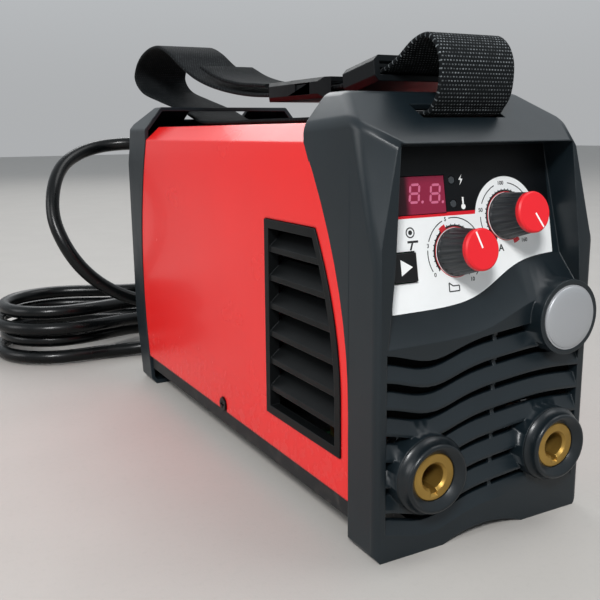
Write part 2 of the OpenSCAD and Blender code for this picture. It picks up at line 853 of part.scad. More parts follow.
module rear_bezel() color("#2c3033") from_front() difference() {
    union() {
        difference() {
            bezel_solid(rear_side(0), 0);
            bezel_solid(rear_side(beyond), wall);
        }
        intersection() {
            bezel_solid(rear_side(0), 0);
            union() {
                tray_shelf(rear_edge_y(0) + over, body_l - wall);
                rod_y(gland_x, gland_z, gland_d + 2 * gland_boss, body_l - switch_depth, body_l);
            }
        }
        rod_y(gland_x, gland_z, gland_d + gland_boss, body_l - gland_in, body_l);
        cover_lip([for (z = lip_heights()) [rear_edge_y(z), z]]);
        rear_screw_places() cylinder(d = rear_boss_d, h = rear_boss_l);
    }
    fan_grille();
    rod_y(gland_x, gland_z, gland_neck_d + 2 * fit, body_l - beyond, body_l + over);
    switch_hole();
    block([-strap_slot_w / 2, rear_slot_y0, body_h - rear_slot_cut],
          [strap_slot_w / 2, rear_slot_y1, body_h + over]);
    rear_screw_places() {
        translate([0, 0, -over]) cylinder(d = rear_screw[2] + screw_gap, h = rear_boss_l);
        translate([0, 0, -rear_boss_l]) cylinder(d = rear_screw[0] + 2 * screw_gap, h = rear_boss_l);
    }
    tray_screw_places(false) cylinder(d = tray_screw[2] + screw_gap, h = beyond, center = true);
}

// Outline of a louvre on the side, drawn in by d
function louvre_edge(z) = louvre_front + louvre_sweep * pow(max(0, z - edge_z) / (louvre_z1 - edge_z), 2);
function louvre(d) = concat(
    [[louvre_back - d, louvre_z0 + d], [louvre_back - louvre_lean - d, louvre_z1 - d]],
    [for (z = steps(louvre_z1 - d, louvre_z0 + d, curve_n)) [louvre_edge(z) + d, z]]);

module cover() color("#d62a24") from_front() difference() {
    intersection() {
        along_y(0, body_l) difference() {
            polygon(cover_face(0, 0));
            polygon(cover_face(sheet_t, over));
        }
        along_x(body_w) polygon(concat(
            [for (z = concat(edge_heights(), [body_h])) [front_edge(z) + seam, z]],
            [[rear_edge_y(body_h) - seam, body_h]],
            [for (z = steps(crease_z, 0, curve_n)) [rear_edge_y(z) - seam, z]]));
    }
    along_x(2 * body_w) polygon(louvre(-fit));
    notch_d = side_screw[0] + screw_gap * 2;
    both_sides() {
        side_screw_place() cylinder(d = notch_d, h = beyond, center = true);
        block([-half_w - over, side_screw_y - notch_d / 2, cover_z - over],
              [-inner_half + over, side_screw_y + notch_d / 2, side_screw_z]);
    }
}

module base_tray() color("#33363a") from_front() difference() {
    union() {
        y0 = edge_y + seam;
        y1 = rear_edge_y(tray_z) - seam;
        block([-inner_half, y0, tray_z], [inner_half, y1, tray_z + tray_t]);
        both_sides() block([-inner_half, y0, tray_z], [-inner_half + tray_t, y1, tray_z + flange_h]);
        block([-tongue_half, y0 - tongue_l, tray_z], [tongue_half, y1 + tongue_l, tray_z + tray_t]);
    }
    for (front = [true, false])
        tray_screw_places(front) cylinder(d = tray_screw[2] + screw_gap, h = 4 * tray_t, center = true);
    both_sides() side_screw_place() cylinder(d = side_screw[2] + screw_gap, h = 4 * tray_t, center = true);
}

// One side's louvre insert: frame, sloping slats and a retaining edge behind the sheet,
// which stays clear of the bezel's lip in front
module grille() {
    out = half_w + louvre_proud;
    pitch = (louvre_z1 - louvre_z0) / (slat_n + 1);
    rotate([90, 0, 90]) {
        translate([0, 0, -out]) linear_extrude(out - inner_half + frame_depth) difference() {
            polygon(louvre(0));
            polygon(louvre(frame_w));
        }
        translate([0, 0, -inner_half]) linear_extrude(keep_t) difference() {
            polygon([[louvre_back + keep_w, louvre_z0 - keep_w], [louvre_back + keep_w, louvre_z1 + keep_w],
                     [louvre_edge(louvre_z1) + frame_w, louvre_z1 + keep_w],
                     [louvre_edge(louvre_z0) + keep_clear, louvre_z0 - keep_w]]);
            polygon(louvre(frame_w));
        }
    }
    intersection() {
        rotate([90, 0, 90]) translate([0, 0, -half_w - over]) linear_extrude(half_w)
            polygon(louvre(frame_w - seam / 2));
        for (i = [1 : slat_n]) translate([-out, 0, louvre_z0 + i * pitch - slat_drop])
            along_y(louvre_front, louvre_back) polygon([
                [slat_set, 0], [slat_d, slat_d * slat_rise],
                [slat_d, slat_d * slat_rise + slat_tip_t], [slat_set, slat_t]]);
    }
}
module left_grille() color("#1d2022") from_front() grille();
module right_grille() color("#1d2022") from_front() mirror([1, 0, 0]) grille();

// Screws: the side pair, four in the rear bezel and four in the tray's tongues
module screw(size) {
    head_d = size[0];
    head_t = size[1];
    difference() {
        cylinder(d = head_d, h = head_t);
        for (a = [0, 90]) translate([0, 0, head_t]) rotate([0, 0, a])
            cube([head_d * cross_w, head_d * cross_l, head_t], center = true);
    }
    translate([0, 0, -size[3]]) cylinder(d = size[2], h = size[3]);
}

// Children stand at the left side screw with Z pointing out of the body
module side_screw_place() translate([-inner_half, side_screw_y, side_screw_z]) rotate([0, -90, 0]) children();
module cover_screws() color("#17191b") from_front() both_sides() side_screw_place() screw(side_screw);

// Children stand at the rear bezel's screws, with Z pointing into the body
module rear_screw_places() for (x = [-rear_screw_x, rear_screw_x]) for (z = rear_screw_zs)
    translate([x, body_l - rear_screw[1] - tiny, z]) rotate([90, 0, 0]) children();
module rear_screws() color("#17191b") from_front() rear_screw_places() rotate([180, 0, 0]) screw(rear_screw);

// Children stand on the tray's tongues, front or rear
module tray_screw_places(front) for (x = [-tray_screw_x, tray_screw_x])
    translate([x, front ? edge_y - tray_screw_in : rear_edge_y(tray_z) + tray_screw_in, tray_z + tray_t])
    children();
module tray_screws() color("#8d9296") from_front() for (front = [true, false])
    tray_screw_places(front) screw(tray_screw);

// Controls

// Heights up the panel, measured on its slope from its middle
function up_panel(z) = (z - panel_mid_z) / cos(panel_tilt);

// Ways through the panel and its label, flat on the panel
module panel_cuts() {
    for (p = knob_places) translate([p[0], up_panel(p[1])]) circle(d = shaft_d + 2 * hole_gap);
    for (z = lamp_zs) translate([lamp_x, up_panel(z)]) circle(d = lamp_d + 2 * fit);
    translate([window_x, up_panel(window_z)]) square([window_w + 2 * fit, window_h + 2 * fit], center = true);
    translate([button_x, up_panel(button_z)]) square(button_s + 2 * hole_gap, center = true);
}

module control_label() color("#f1f1ee") from_front()
    on_panel(0, panel_mid_z) linear_extrude(label_t) difference() {
    edge = recess_half - fit;
    top = up_panel(recess_top - label_top_gap);
    polygon(concat(
        [for (x = steps(-edge, edge, wave_n)) [x, up_panel(ledge(x) + label_gap)]],
        [[edge, top], [-edge, top]]));
    panel_cuts();
}

module display_window() color("#7c1024") from_front() on_panel(window_x, window_z)
    translate([-window_w / 2, -window_h / 2, -wall]) cube([window_w, window_h, wall + label_t]);

// The digits stand on the control board behind the window
module digit_module() color("#3a1016") from_front() on_panel(digits_x, window_z)
    translate([-digits_w / 2, -digits_h / 2, -pcb_back]) cube([digits_w, digits_h, pcb_back - wall - fit]);

module indicator_lamps() color("#c9d4c8") from_front() for (z = lamp_zs)
    on_panel(lamp_x, z) translate([0, 0, -pcb_back]) {
        cylinder(d = lamp_d, h = pcb_back + label_t);
        cylinder(d = lamp_d + lamp_flange, h = pcb_back - wall - lamp_flange);
    }

module control_board() color("#1f5f3a") from_front()
    on_panel(0, panel_mid_z) translate([-pcb_w / 2, -pcb_h / 2, -pcb_back - pcb_t])
    cube([pcb_w, pcb_h, pcb_t]);

// A ribbed knob body with a skirt, a seat for the shaft and a flat top for the cap
module knob_body() translate([0, 0, knob_lift]) difference() {
    union() {
        cylinder(d = skirt_d, h = skirt_t);
        linear_extrude(knob_l - cap_t) polygon([for (i = [0 : 4 * knob_ribs - 1])
            (knob_d / 2 - (i % 4 < 2 ? 0 : rib_depth)) * [cos(90 * i / knob_ribs), sin(90 * i / knob_ribs)]]);
    }
    translate([0, 0, -over]) cylinder(d = shaft_d, h = shaft_in + over);
}
module knob_cap() translate([0, 0, knob_lift + knob_l - cap_t]) rotate_extrude() polygon([
    [0, 0], [knob_d / 2 + cap_over, 0], [knob_d / 2 + cap_over, cap_t - cap_chamfer],
    [knob_d / 2 + cap_over - cap_chamfer, cap_t], [0, cap_t]]);
module knob_shaft() translate([0, 0, -pcb_back + shaft_foot])
    cylinder(d = shaft_d, h = pcb_back - shaft_foot + knob_lift + shaft_in);
module potentiometer() translate([0, 0, -pcb_back]) difference() {
    union() {
        cylinder(d = pot_d, h = pcb_back - wall - pot_gap);
        translate([-pot_lugs[0] / 2, pot_lug_y, 0]) cube(pot_lugs);
    }
    translate([0, 0, shaft_foot - fit]) cylinder(d = shaft_d + 2 * fit, h = pcb_back);
}
module arc_knob() color("#202325") from_front() on_panel(arc_x, arc_z) knob_body();
module arc_knob_cap() color("#e02b2b") from_front() on_panel(arc_x, arc_z) knob_cap();
module arc_shaft() color("#b9bdc0") from_front() on_panel(arc_x, arc_z) knob_shaft();
module arc_potentiometer() color("#2f5aa0") from_front() on_panel(arc_x, arc_z) potentiometer();
module current_knob() color("#202325") from_front() on_panel(current_x, current_z) knob_body();
module current_knob_cap() color("#e02b2b") from_front() on_panel(current_x, current_z) knob_cap();
module current_shaft() color("#b9bdc0") from_front() on_panel(current_x, current_z) knob_shaft();
module current_potentiometer() color("#2f5aa0") from_front() on_panel(current_x, current_z) potentiometer();

// The square button slides into the panel, and its stem then meets the switch on the board
module mode_button() color("#191b1d") from_front() on_panel(button_x, button_z) {
    translate([-button_s / 2, -button_s / 2, -wall])
        cube([button_s, button_s, wall + label_t + button_proud]);
    translate([0, 0, switch_cap_z + button_travel + fit]) cylinder(d = stem_d, h = -switch_cap_z - wall);
}
module button_switch() color("#44484c") from_front()
    on_panel(button_x, button_z) translate([0, 0, -pcb_back]) {
    translate([-switch_s / 2, -switch_s / 2, 0]) cube([switch_s, switch_s, switch_t]);
    cylinder(d = switch_cap_d, h = switch_cap_z + pcb_back);
}

// Output sockets

module insulator() translate([0, -ring_proud, socket_z]) rotate([-90, 0, 0]) difference() {
    flange = ring_proud - collar_proud - fit;
    union() {
        rotate_extrude() polygon([
            [0, 0], [ring_d / 2 - ring_round, 0], [ring_d / 2, ring_round],
            [ring_d / 2, flange], [0, flange]]);
        cylinder(d = neck_d, h = ring_proud + grille_wall + neck_l);
    }
    translate([0, 0, -over]) cylinder(d = brass_d, h = ring_proud + grille_wall + neck_l + 2 * over);
}
module brass_socket() translate([0, -brass_proud, socket_z]) rotate([-90, 0, 0]) difference() {
    union() {
        cylinder(d = brass_d, h = brass_proud + shoulder_y);
        cylinder(d = stud_d, h = brass_proud + stud_end);
    }
    translate([0, 0, -over]) cylinder(d = socket_bore, h = brass_proud + shoulder_y - bore_end + over);
}
module left_insulator() color("#15181a") from_front() translate([-socket_x, 0, 0]) insulator();
module right_insulator() color("#15181a") from_front() translate([socket_x, 0, 0]) insulator();
module left_socket() color("#b98a3a") from_front() translate([-socket_x, 0, 0]) brass_socket();
module right_socket() color("#b98a3a") from_front() translate([socket_x, 0, 0]) brass_socket();

// Hexagon nuts that clamp the insulators, and those that hold the bus bars
module hex_nut(across, bore, t) rotate([-90, 0, 0]) difference() {
    cylinder(d = across / cos(30), h = t, $fn = 6);
    translate([0, 0, -over]) cylinder(d = bore, h = t + 2 * over);
}
module clamp_nuts() color("#9ba0a4") from_front() for (x = [-socket_x, socket_x])
    translate([x, grille_wall + fit, socket_z]) hex_nut(clamp_nut_w, neck_d + fit, clamp_nut_t);
module stud_nuts() color("#9ba0a4") from_front() for (x = [-socket_x, socket_x])
    translate([x, shoulder_y + bus_t, socket_z]) hex_nut(stud_nut_w, stud_d + fit, nut_t);

// A bare domed disc in its round boss
module badge() color("#b8bcbf") from_front()
    translate([badge_x, -boss_proud + badge_seat, badge_z]) rotate([90, 0, 0])
    rotate_extrude() polygon(concat(
        [[0, 0], [badge_d / 2, 0], [badge_d / 2, badge_seat + badge_rim]],
        [for (a = steps(0, 90, 8))
            [(badge_d / 2 - badge_step) * cos(a), badge_seat + badge_rim + badge_dome * sin(a)]]));

// Strap

function above_top(p, y0) = [p[0] + y0, body_h + p[1], p[2]];
strap_run = [for (y = steps(body_l - strap_run_in, strap_run_y, strap_run_n)) [y, strap_z, 0]];
strap_path = ring_spline(concat(
    [for (p = strap_front) above_top(p, 0)], [for (p = strap_rear) above_top(p, body_l)],
    strap_run), strap_steps);
strap_back = max([for (p = strap_path) p[0]]) + strap_t / 2;
// Puts the middle of the object, from the socket rings to the strap's rear loop, over the origin
front_y = -(strap_back - ring_proud) / 2;
module strap() color("#1c1f21") from_front() band(strap_path, strap_w, strap_t, true);
module strap_tail() color("#1c1f21") from_front()
    band(spline([for (p = tail_flap) above_top(p, body_l)], strap_steps),
         strap_w - tail_narrow, strap_t, false);

// Height of the strap's upper run at a depth, read from its own path
strap_top = [for (p = strap_path) if (p[1] > body_h && p[0] > slot_y1 && p[0] < rear_slot_y0) [p[0], p[1]]];
function strap_level(y) = lookup(y, strap_top);

// Way through a fitting for the webbing, and half the width of that way
way_half = strap_w / 2 + web_side;
way_h = strap_t / 2 + web_gap;
module web_way(y0, y1) block([-way_half, y0, -way_h], [way_half, y1, way_h]);

// A fitting seen from above, given by its right edge from front to rear, with its top and bottom edges cut
module fitting(edge, h, cut) intersection() {
    linear_extrude(h, center = true) polygon(concat(
        edge, [for (i = [len(edge) - 1 : -1 : 0]) [-edge[i][0], edge[i][1]]]));
    wide = max([for (p = edge) p[0]]);
    along_y(edge[0][1], edge[len(edge) - 1][1]) polygon([
        [-wide, cut - h / 2], [cut - wide, -h / 2], [wide - cut, -h / 2], [wide, cut - h / 2],
        [wide, h / 2 - cut], [wide - cut, h / 2], [cut - wide, h / 2], [-wide, h / 2 - cut]]);
}

// Level of a buckle half, midway between the strap's levels at its ends
module on_strap(y0, y1) translate([0, 0, (strap_level(y0) + strap_level(y1)) / 2]) children();

// The socket half has a window in each side, through which the clip's latches show
module buckle_socket() color("#131517") from_front() on_strap(buckle_y0, buckle_y1) difference() {
    half = way_half + buckle_side;
    fitting([[half - buckle_taper[0], buckle_y0], [half, buckle_y0 + buckle_taper[1]], [half, buckle_y1]],
            buckle_h, buckle_edge);
    web_way(buckle_y0 - over, buckle_y1 + over);
    both_sides() block([way_half - over, buckle_y1 - latch_in - latch_l - fit, -way_h],
                       [half + over, buckle_y1 - latch_in + fit, way_h]);
    block([-strap_w / 2, buckle_y0 + bar_slot[0], 0],
          [strap_w / 2, buckle_y0 + bar_slot[0] + bar_slot[1], buckle_h]);
}

// The clip half: its two arms run into the socket beside the webbing and end in the latches
module buckle_clip() color("#131517") from_front() on_strap(buckle_y0, buckle_y1) {
    half = way_half + clip_side;
    arm = strap_w / 2 + latch_gap;
    difference() {
        fitting([[half, buckle_y1 + fit], [half, buckle_y2 - clip_taper[1]],
                 [half - clip_taper[0], buckle_y2]], buckle_h, buckle_edge);
        web_way(buckle_y1, buckle_y2 + over);
        block([-strap_w / 2, buckle_y2 - bar_slot[0] - bar_slot[1], 0],
              [strap_w / 2, buckle_y2 - bar_slot[0], buckle_h]);
    }
    root = buckle_y1 + fit;
    tip = buckle_y1 - latch_in;
    both_sides() {
        block([arm, tip - latch_l, -latch_h], [arm + latch_arm, root + latch_root, latch_h]);
        block([arm, root, -latch_h], [half - over, root + latch_root, latch_h]);
        block([arm, tip - latch_l, -latch_h], [way_half + buckle_side - latch_set, tip, latch_h]);
    }
}

// The slide lies along the slope behind the front loop; its bar shows between two slots
module strap_slide() color("#131517") from_front() {
    rise = strap_level(slide_y1) - strap_level(slide_y0);
    run = slide_y1 - slide_y0;
    half = way_half + slide_side;
    end = norm([run, rise]) / 2;
    translate([0, slide_y0 + run / 2, strap_level(slide_y0) + rise / 2]) rotate([atan2(rise, run), 0, 0])
        difference() {
            fitting([[half, -end], [half, end]], slide_h, slide_edge);
            web_way(-end - over, end + over);
            for (y = [-slide_bar / 2 - slide_slot, slide_bar / 2])
                block([-strap_w / 2, y, 0], [strap_w / 2, y + slide_slot, slide_h]);
        }
}

// Power electronics

module power_board() color("#2b6b3f") from_front()
    block([-board_half, board_y0, board_z], [board_half, board_y1, board_top]);
module standoffs() color("#b98a3a") from_front()
    for (x = [-board_half + standoff_in[0], board_half - standoff_in[0]])
    for (y = [board_y0 + standoff_in[1], board_y1 - standoff_in[1]])
    translate([x, y, tray_z + tray_t]) cylinder(d = standoff_d, h = board_z - tray_z - tray_t, $fn = 6);

// A finned heat sink, standing on the board, with its flat side inwards
module heat_sink() {
    block([-sink_in - sink_base, sink_y0, board_top], [-sink_in, sink_y0 + sink_l, board_top + sink_h]);
    for (z = steps(board_top, board_top + sink_h - fin_t, fin_n - 1))
        block([-sink_out, sink_y0, z], [-sink_in - sink_base + tiny, sink_y0 + sink_l, z + fin_t]);
}
module left_heat_sink() color("#a9adb0") from_front() heat_sink();
module right_heat_sink() color("#a9adb0") from_front() mirror([1, 0, 0]) heat_sink();

// A row of transistors on the left sink, and one fewer with the rectifier on the right one
module transistors() color("#1b1d1f") from_front() {
    for (y = transistor_ys) translate([-sink_in, y, transistor_z]) cube(transistor);
    for (i = [0 : transistor_n - 2]) translate([sink_in - transistor[0], transistor_ys[i], transistor_z])
        cube(transistor);
}
module rectifier() color("#2a2d30") from_front()
    translate([sink_in - rectifier_size[0], sink_y0 + sink_l - rectifier_size[1], rectifier_z])
    cube(rectifier_size);

// The main transformer: a ferrite frame with two windows and a winding round its middle leg
module transformer_core() color("#3b3d40") from_front() difference() {
    block([-core_w / 2, core_y0, board_top], [core_w / 2, core_y0 + core_l, board_top + core_h]);
    both_sides() block([core_leg / 2, core_y0 - over, board_top + core_yoke],
                       [core_w / 2 - core_wall, core_y0 + core_l + over, board_top + core_h - core_yoke]);
}
module transformer_winding() color("#c07a2c") from_front() difference() {
    half = core_w / 2 - core_wall - fit;
    hole = core_leg / 2 + fit;
    block([-half, core_y0 - winding_over, board_top + core_yoke + fit],
          [half, core_y0 + core_l + winding_over, board_top + core_h - core_yoke - fit]);
    block([-hole, core_y0 - fit, board_top], [hole, core_y0 + core_l + fit, board_top + core_h]);
}

module output_choke() color("#c07a2c") from_front()
    translate([-choke_l / 2, choke_y, board_top + choke_d / 2]) rotate([0, 90, 0]) difference() {
        cylinder(d = choke_d, h = choke_l);
        translate([0, 0, -over]) cylinder(d = choke_bore, h = choke_l + 2 * over);
    }
module capacitors() color("#26406b") from_front() for (i = [-1 : 1])
    translate([i * capacitor_pitch, capacitor_y, board_top]) cylinder(d = capacitor_d, h = capacitor_h);

// Bent copper strips from the socket studs to the power board, which pass over the stud nuts
module bus_bars() color("#b5693a") from_front() for (x = [-socket_x, socket_x]) difference() {
    translate([x, 0, 0]) along_x(bus_w) polygon([
        [shoulder_y, socket_z - stud_d], [shoulder_y + bus_t, socket_z - stud_d],
        [shoulder_y + bus_t, bus_top - bus_t], [bus_foot[1] - bus_t, bus_top - bus_t],
        [bus_foot[1] - bus_t, board_top + bus_t], [bus_foot[0], board_top + bus_t], [bus_foot[0], board_top],
        [bus_foot[1], board_top], [bus_foot[1], bus_top], [shoulder_y, bus_top]]);
    rod_y(x, socket_z, stud_d + fit, shoulder_y - over, shoulder_y + bus_t + over);
}

// Fan and rear fittings

module fan_frame() color("#1e2123") from_front() difference() {
    union() {
        difference() {
            block([-fan_s / 2, fan_y1 - fan_t, fan_z - fan_s / 2], [fan_s / 2, fan_y1, fan_z + fan_s / 2]);
            rod_y(0, fan_z, fan_bore, fan_y1 - fan_t - over, fan_y1 + over);
        }
        rod_y(0, fan_z, hub_d, fan_y1 - fan_strut, fan_y1);
        for (a = [0, 90]) translate([0, fan_y1 - fan_strut / 2, fan_z]) rotate([0, a, 0])
            cube([fan_strut, fan_strut, fan_s - over], center = true);
    }
    rod_y(0, fan_z, pin_d, fan_y1 - fan_strut - over, fan_y1 - rotor_gap);
}

// The rotor turns on a pin that runs in the frame's hub
module fan_rotor() color("#26292c") from_front() {
    rod_y(0, fan_z, hub_d, rotor_y0, rotor_y1);
    rod_y(0, fan_z, pin_d - 2 * pin_gap, rotor_y1 - over, fan_y1 - rotor_gap - fit);
    intersection() {
        rod_y(0, fan_z, fan_bore - 2 * rotor_gap, rotor_y0, rotor_y1);
        for (i = [0 : blade_n - 1]) translate([0, (rotor_y0 + rotor_y1) / 2, fan_z])
            rotate([0, 360 * i / blade_n, 0]) rotate([0, 0, blade_turn])
            translate([-blade_t / 2, -blade_l / 2, hub_d / 2 - over]) cube([blade_t, blade_l, fan_bore / 2]);
    }
}

// The hole for the rocker switch, and the switch's own body that fills it
module switch_hole() {
    hole_w = switch_w / 2 - switch_lip;
    hole_h = switch_h / 2 - switch_lip;
    block([switch_x - hole_w, body_l - beyond, switch_z - hole_h],
          [switch_x + hole_w, body_l + over, switch_z + hole_h]);
}
module switch_body() color("#16181a") from_front() difference() {
    neck_w = switch_w / 2 - switch_lip - fit;
    neck_h = switch_h / 2 - switch_lip - fit;
    well_w = rocker_w / 2 + rocker_gap;
    well_h = rocker_h / 2 + rocker_sweep;
    union() {
        block([switch_x - switch_w / 2, body_l, switch_z - switch_h / 2],
              [switch_x + switch_w / 2, body_l + switch_frame_t, switch_z + switch_h / 2]);
        block([switch_x - neck_w, body_l - switch_depth, switch_z - neck_h],
              [switch_x + neck_w, body_l + over, switch_z + neck_h]);
    }
    block([switch_x - well_w, body_l - rocker_well, switch_z - well_h],
          [switch_x + well_w, body_l + beyond, switch_z + well_h]);
    translate([switch_x, pivot_y, switch_z]) rotate([0, 90, 0])
        cylinder(d = rocker_pin + 2 * pin_gap, h = rocker_w + 2 * rocker_pin_l + over, center = true);
}

// The rocker rests with its lower half pressed in; it turns on two pins
module power_rocker() color("#b3231f") from_front() translate([switch_x, pivot_y, switch_z])
    rotate([-rocker_throw / 2, 0, 0]) {
        half = rocker_h / 2;
        along_x(rocker_w) polygon([
            [-rocker_root[0], -rocker_root[1]], [rocker_side, -half], [rocker_tip[0], -half + rocker_tip[1]],
            [rocker_face, 0], [rocker_tip[0], half - rocker_tip[1]], [rocker_side, half],
            [-rocker_root[0], rocker_root[1]]]);
        rotate([0, 90, 0]) cylinder(d = rocker_pin, h = rocker_w + 2 * rocker_pin_l, center = true);
    }

module cable_gland() color("#17191b") from_front() difference() {
    union() {
        rod_y(gland_x, gland_z, gland_d, body_l, body_l + gland_flange);
        translate([gland_x, body_l + gland_l, gland_z]) rotate([90, 0, 0])
            cylinder(d = gland_d - gland_wall, h = gland_l - gland_flange, $fn = 6);
        rod_y(gland_x, gland_z, gland_neck_d, body_l - gland_in, body_l + over);
    }
    rod_y(gland_x, gland_z, lead_d, body_l - beyond, body_l + gland_l + over);
}

// Ribbed taper that keeps the lead from kinking at the gland
module strain_relief() color("#191b1d") from_front()
    translate([gland_x, body_l + gland_l, gland_z]) rotate([-90, 0, 0]) rotate_extrude() polygon(concat(
        [[0, 0]],
        [for (i = [0 : relief_ribs - 1]) each let (
            r = relief_d / 2 - (relief_d / 2 - lead_d / 2 - relief_wall) * i / (relief_ribs - 1),
            band_l = relief_l / relief_ribs) [[r, i * band_l], [r, (i + 1) * band_l]]],
        [[0, relief_l]]));

// Mains lead

module mains_lead() color("#1a1c1e") from_front()
    tube(concat(lead_route, [hank_start - [lead_d, 0, 0], hank_start]), lead_d, 10);
module lead_tail() color("#1a1c1e") from_front()
    tube(concat([hank_end, hank_end + [lead_d, 0, 0]], tail_route), lead_d, 10);

// The hank: loops about two ends, layer on layer, drawn in at the waist where the tie goes round.
// Turn 0 is the middle of the near run on top; each near run drops one layer.
function hank_radius(t) =
    let (s = t - floor(t)) floor(t) % 2 == 0 ? hank_out - hank_step * s : hank_r + hank_step * s;
function hank_drop(t) =
    let (n = floor(t + 0.5), s = (t - n + half_run) / run_share)
    (n > 0 && n < hank_layers && s > 0 && s < 1) ? n - 1 + s * s * (3 - 2 * s) : floor(t);
function waist(x) = hank_draw * pow(cos(180 * x / hank_run), 2);
function hank_plan(t) =
    let (f = t - floor(t + 0.5), r = hank_radius(t), bend = 180 / (0.5 - run_share),
         x = abs(f) <= half_run ? f / run_share * hank_run
           : f > 0 ? (0.5 - f) / run_share * hank_run : (-0.5 - f) / run_share * hank_run)
    abs(f) <= half_run ? [x, waist(x) - r]
    : abs(f) >= 0.5 - half_run ? [x, r - waist(x)]
    : f > 0 ? [hank_run / 2 + r * cos((f - half_run) * bend - 90), r * sin((f - half_run) * bend - 90)]
            : [-hank_run / 2 - r * cos((-f - half_run) * bend - 90), r * sin((-f - half_run) * bend - 90)];
function hank_at(t) = let (p = hank_plan(t))
    [hank_x + p[0], hank_y + p[1], hank_lift + lead_d / 2 + hank_rise * (hank_layers - 1 - hank_drop(t))];
function hank_path(rings) =
    [for (t = steps(turn_start, turn_end, round((turn_end - turn_start) * rings))) hank_at(t)];
// Its ends run straight for one diameter
hank_start = hank_at(turn_start) - [lead_d, 0, 0];
hank_end = hank_at(turn_end) + [lead_d, 0, 0];
module mains_hank() color("#1a1c1e") from_front()
    tube(concat([hank_start], hank_path(loop_rings), [hank_end]), lead_d, 6);

// Least gap between turns, measured on points half as far apart as the rings
gap_path = hank_path(2 * loop_rings);
gap_skip = loop_rings;
hank_gap = min([for (i = [0 : len(gap_path) - 1]) for (j = [i + gap_skip : len(gap_path) - 1])
    norm(gap_path[i] - gap_path[j])]) - lead_d;
echo(hank_least_gap_mm = hank_gap);

// A strip tie round the drawn-in waist
module hank_tie() color("#cfd2cf") from_front() translate([hank_x, hank_y, 0]) along_x(tie_w) difference() {
    near = hank_out - hank_draw + lead_d / 2 + tie_gap;
    far = hank_r + hank_step / 2 - hank_draw + lead_d / 2 + tie_gap;
    top = hank_lift + (hank_layers - 1) * hank_rise + lead_d + tie_gap;
    inside = [[-near, tie_t + tie_near_cut], [-near + tie_near_cut, tie_t], [far - tie_far_cut, tie_t],
              [far, tie_t + tie_far_cut], [far, top - tie_far_cut], [far - tie_far_cut, top],
              [-near + tie_near_cut, top], [-near, top - tie_near_cut]];
    polygon(inset(inside, -tie_t));
    polygon(inside);
}

// The plug lies on its side on the floor; local Z runs from its tail to its pins
module plug_frame() translate([plug_x, plug_y, plug_d / 2 + plug_lift]) rotate([0, 90, 0]) children();
module plug_pin_places() for (y = [-plug_pin_x, plug_pin_x])
    translate([0, y, plug_tail + plug_l - plug_pin_in]) children();
module mains_plug() color("#1b1d1f") from_front() plug_frame() difference() {
    rotate_extrude() polygon([
        [0, 0], [lead_d / 2 + plug_tail_wall[0], 0],
        [lead_d / 2 + plug_tail_wall[1], plug_tail - plug_tail_end],
        [plug_d / 2 - plug_waist_in[0], plug_tail + plug_shoulder],
        [plug_d / 2 - plug_waist_in[1], plug_tail + plug_l - plug_rim[0]],
        [plug_d / 2, plug_tail + plug_l - plug_rim[1]],
        [plug_d / 2, plug_tail + plug_l], [0, plug_tail + plug_l]]);
    plug_pin_places() cylinder(d = plug_pin_d, h = beyond);
}
module plug_pins() color("#c3c6c8") from_front() plug_frame() plug_pin_places()
    cylinder(d = plug_pin_d, h = plug_pin_in + plug_pin_l);

front_bezel();
rear_bezel();
cover();
base_tray();
left_grille();
right_grille();
cover_screws();
rear_screws();
tray_screws();
control_label();
display_window();
digit_module();
indicator_lamps();
control_board();
arc_knob();
arc_knob_cap();
arc_shaft();
arc_potentiometer();
current_knob();
current_knob_cap();
current_shaft();
current_potentiometer();
mode_button();
button_switch();
left_insulator();
right_insulator();
left_socket();
right_socket();
clamp_nuts();
stud_nuts();
badge();
strap();
strap_tail();
buckle_socket();
buckle_clip();
strap_slide();
power_board();
standoffs();
left_heat_sink();
right_heat_sink();
transistors();
rectifier();
transformer_core();
transformer_winding();
output_choke();
capacitors();
bus_bars();
fan_frame();
fan_rotor();
switch_body();
power_rocker();
cable_gland();
strain_relief();
mains_lead();
mains_hank();
lead_tail();
hank_tie();
mains_plug();
plug_pins();
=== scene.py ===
"""Dresses the stick welding inverter: camera, mains lead, carrying strap, printed panel and finishes."""
import logging
import math
from dataclasses import dataclass
from enum import Enum
from typing import Callable, Sequence

import bmesh
import bpy
from mathutils import Matrix, Vector


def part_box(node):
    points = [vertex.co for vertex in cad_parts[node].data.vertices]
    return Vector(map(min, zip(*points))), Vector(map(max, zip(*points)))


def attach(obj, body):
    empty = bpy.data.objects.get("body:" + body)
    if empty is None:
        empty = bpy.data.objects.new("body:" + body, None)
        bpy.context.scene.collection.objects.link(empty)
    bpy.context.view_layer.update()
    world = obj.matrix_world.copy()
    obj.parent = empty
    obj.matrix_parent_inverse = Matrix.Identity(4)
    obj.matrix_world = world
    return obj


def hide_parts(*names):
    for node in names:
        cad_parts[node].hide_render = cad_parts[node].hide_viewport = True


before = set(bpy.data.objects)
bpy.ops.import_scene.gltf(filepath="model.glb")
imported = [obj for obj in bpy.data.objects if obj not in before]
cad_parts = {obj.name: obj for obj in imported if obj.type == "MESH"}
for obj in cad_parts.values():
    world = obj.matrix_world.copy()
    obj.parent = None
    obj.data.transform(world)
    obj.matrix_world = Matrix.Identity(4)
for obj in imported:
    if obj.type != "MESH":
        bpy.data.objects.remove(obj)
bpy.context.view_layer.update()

LOG = logging.getLogger("inverter")
MM = 0.001

# The badge's boss is what stands furthest out of the front bezel; depths count from the face behind it
BOSS_PROUD = 6.0
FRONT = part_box("front_bezel")[0][1] / MM + BOSS_PROUD

Colour = tuple[float, float, float, float]
Flat = tuple[float, float]
Point = tuple[float, float, float]
Radius = float | Callable[[float], float]
Corners = Sequence[bmesh.types.BMVert]

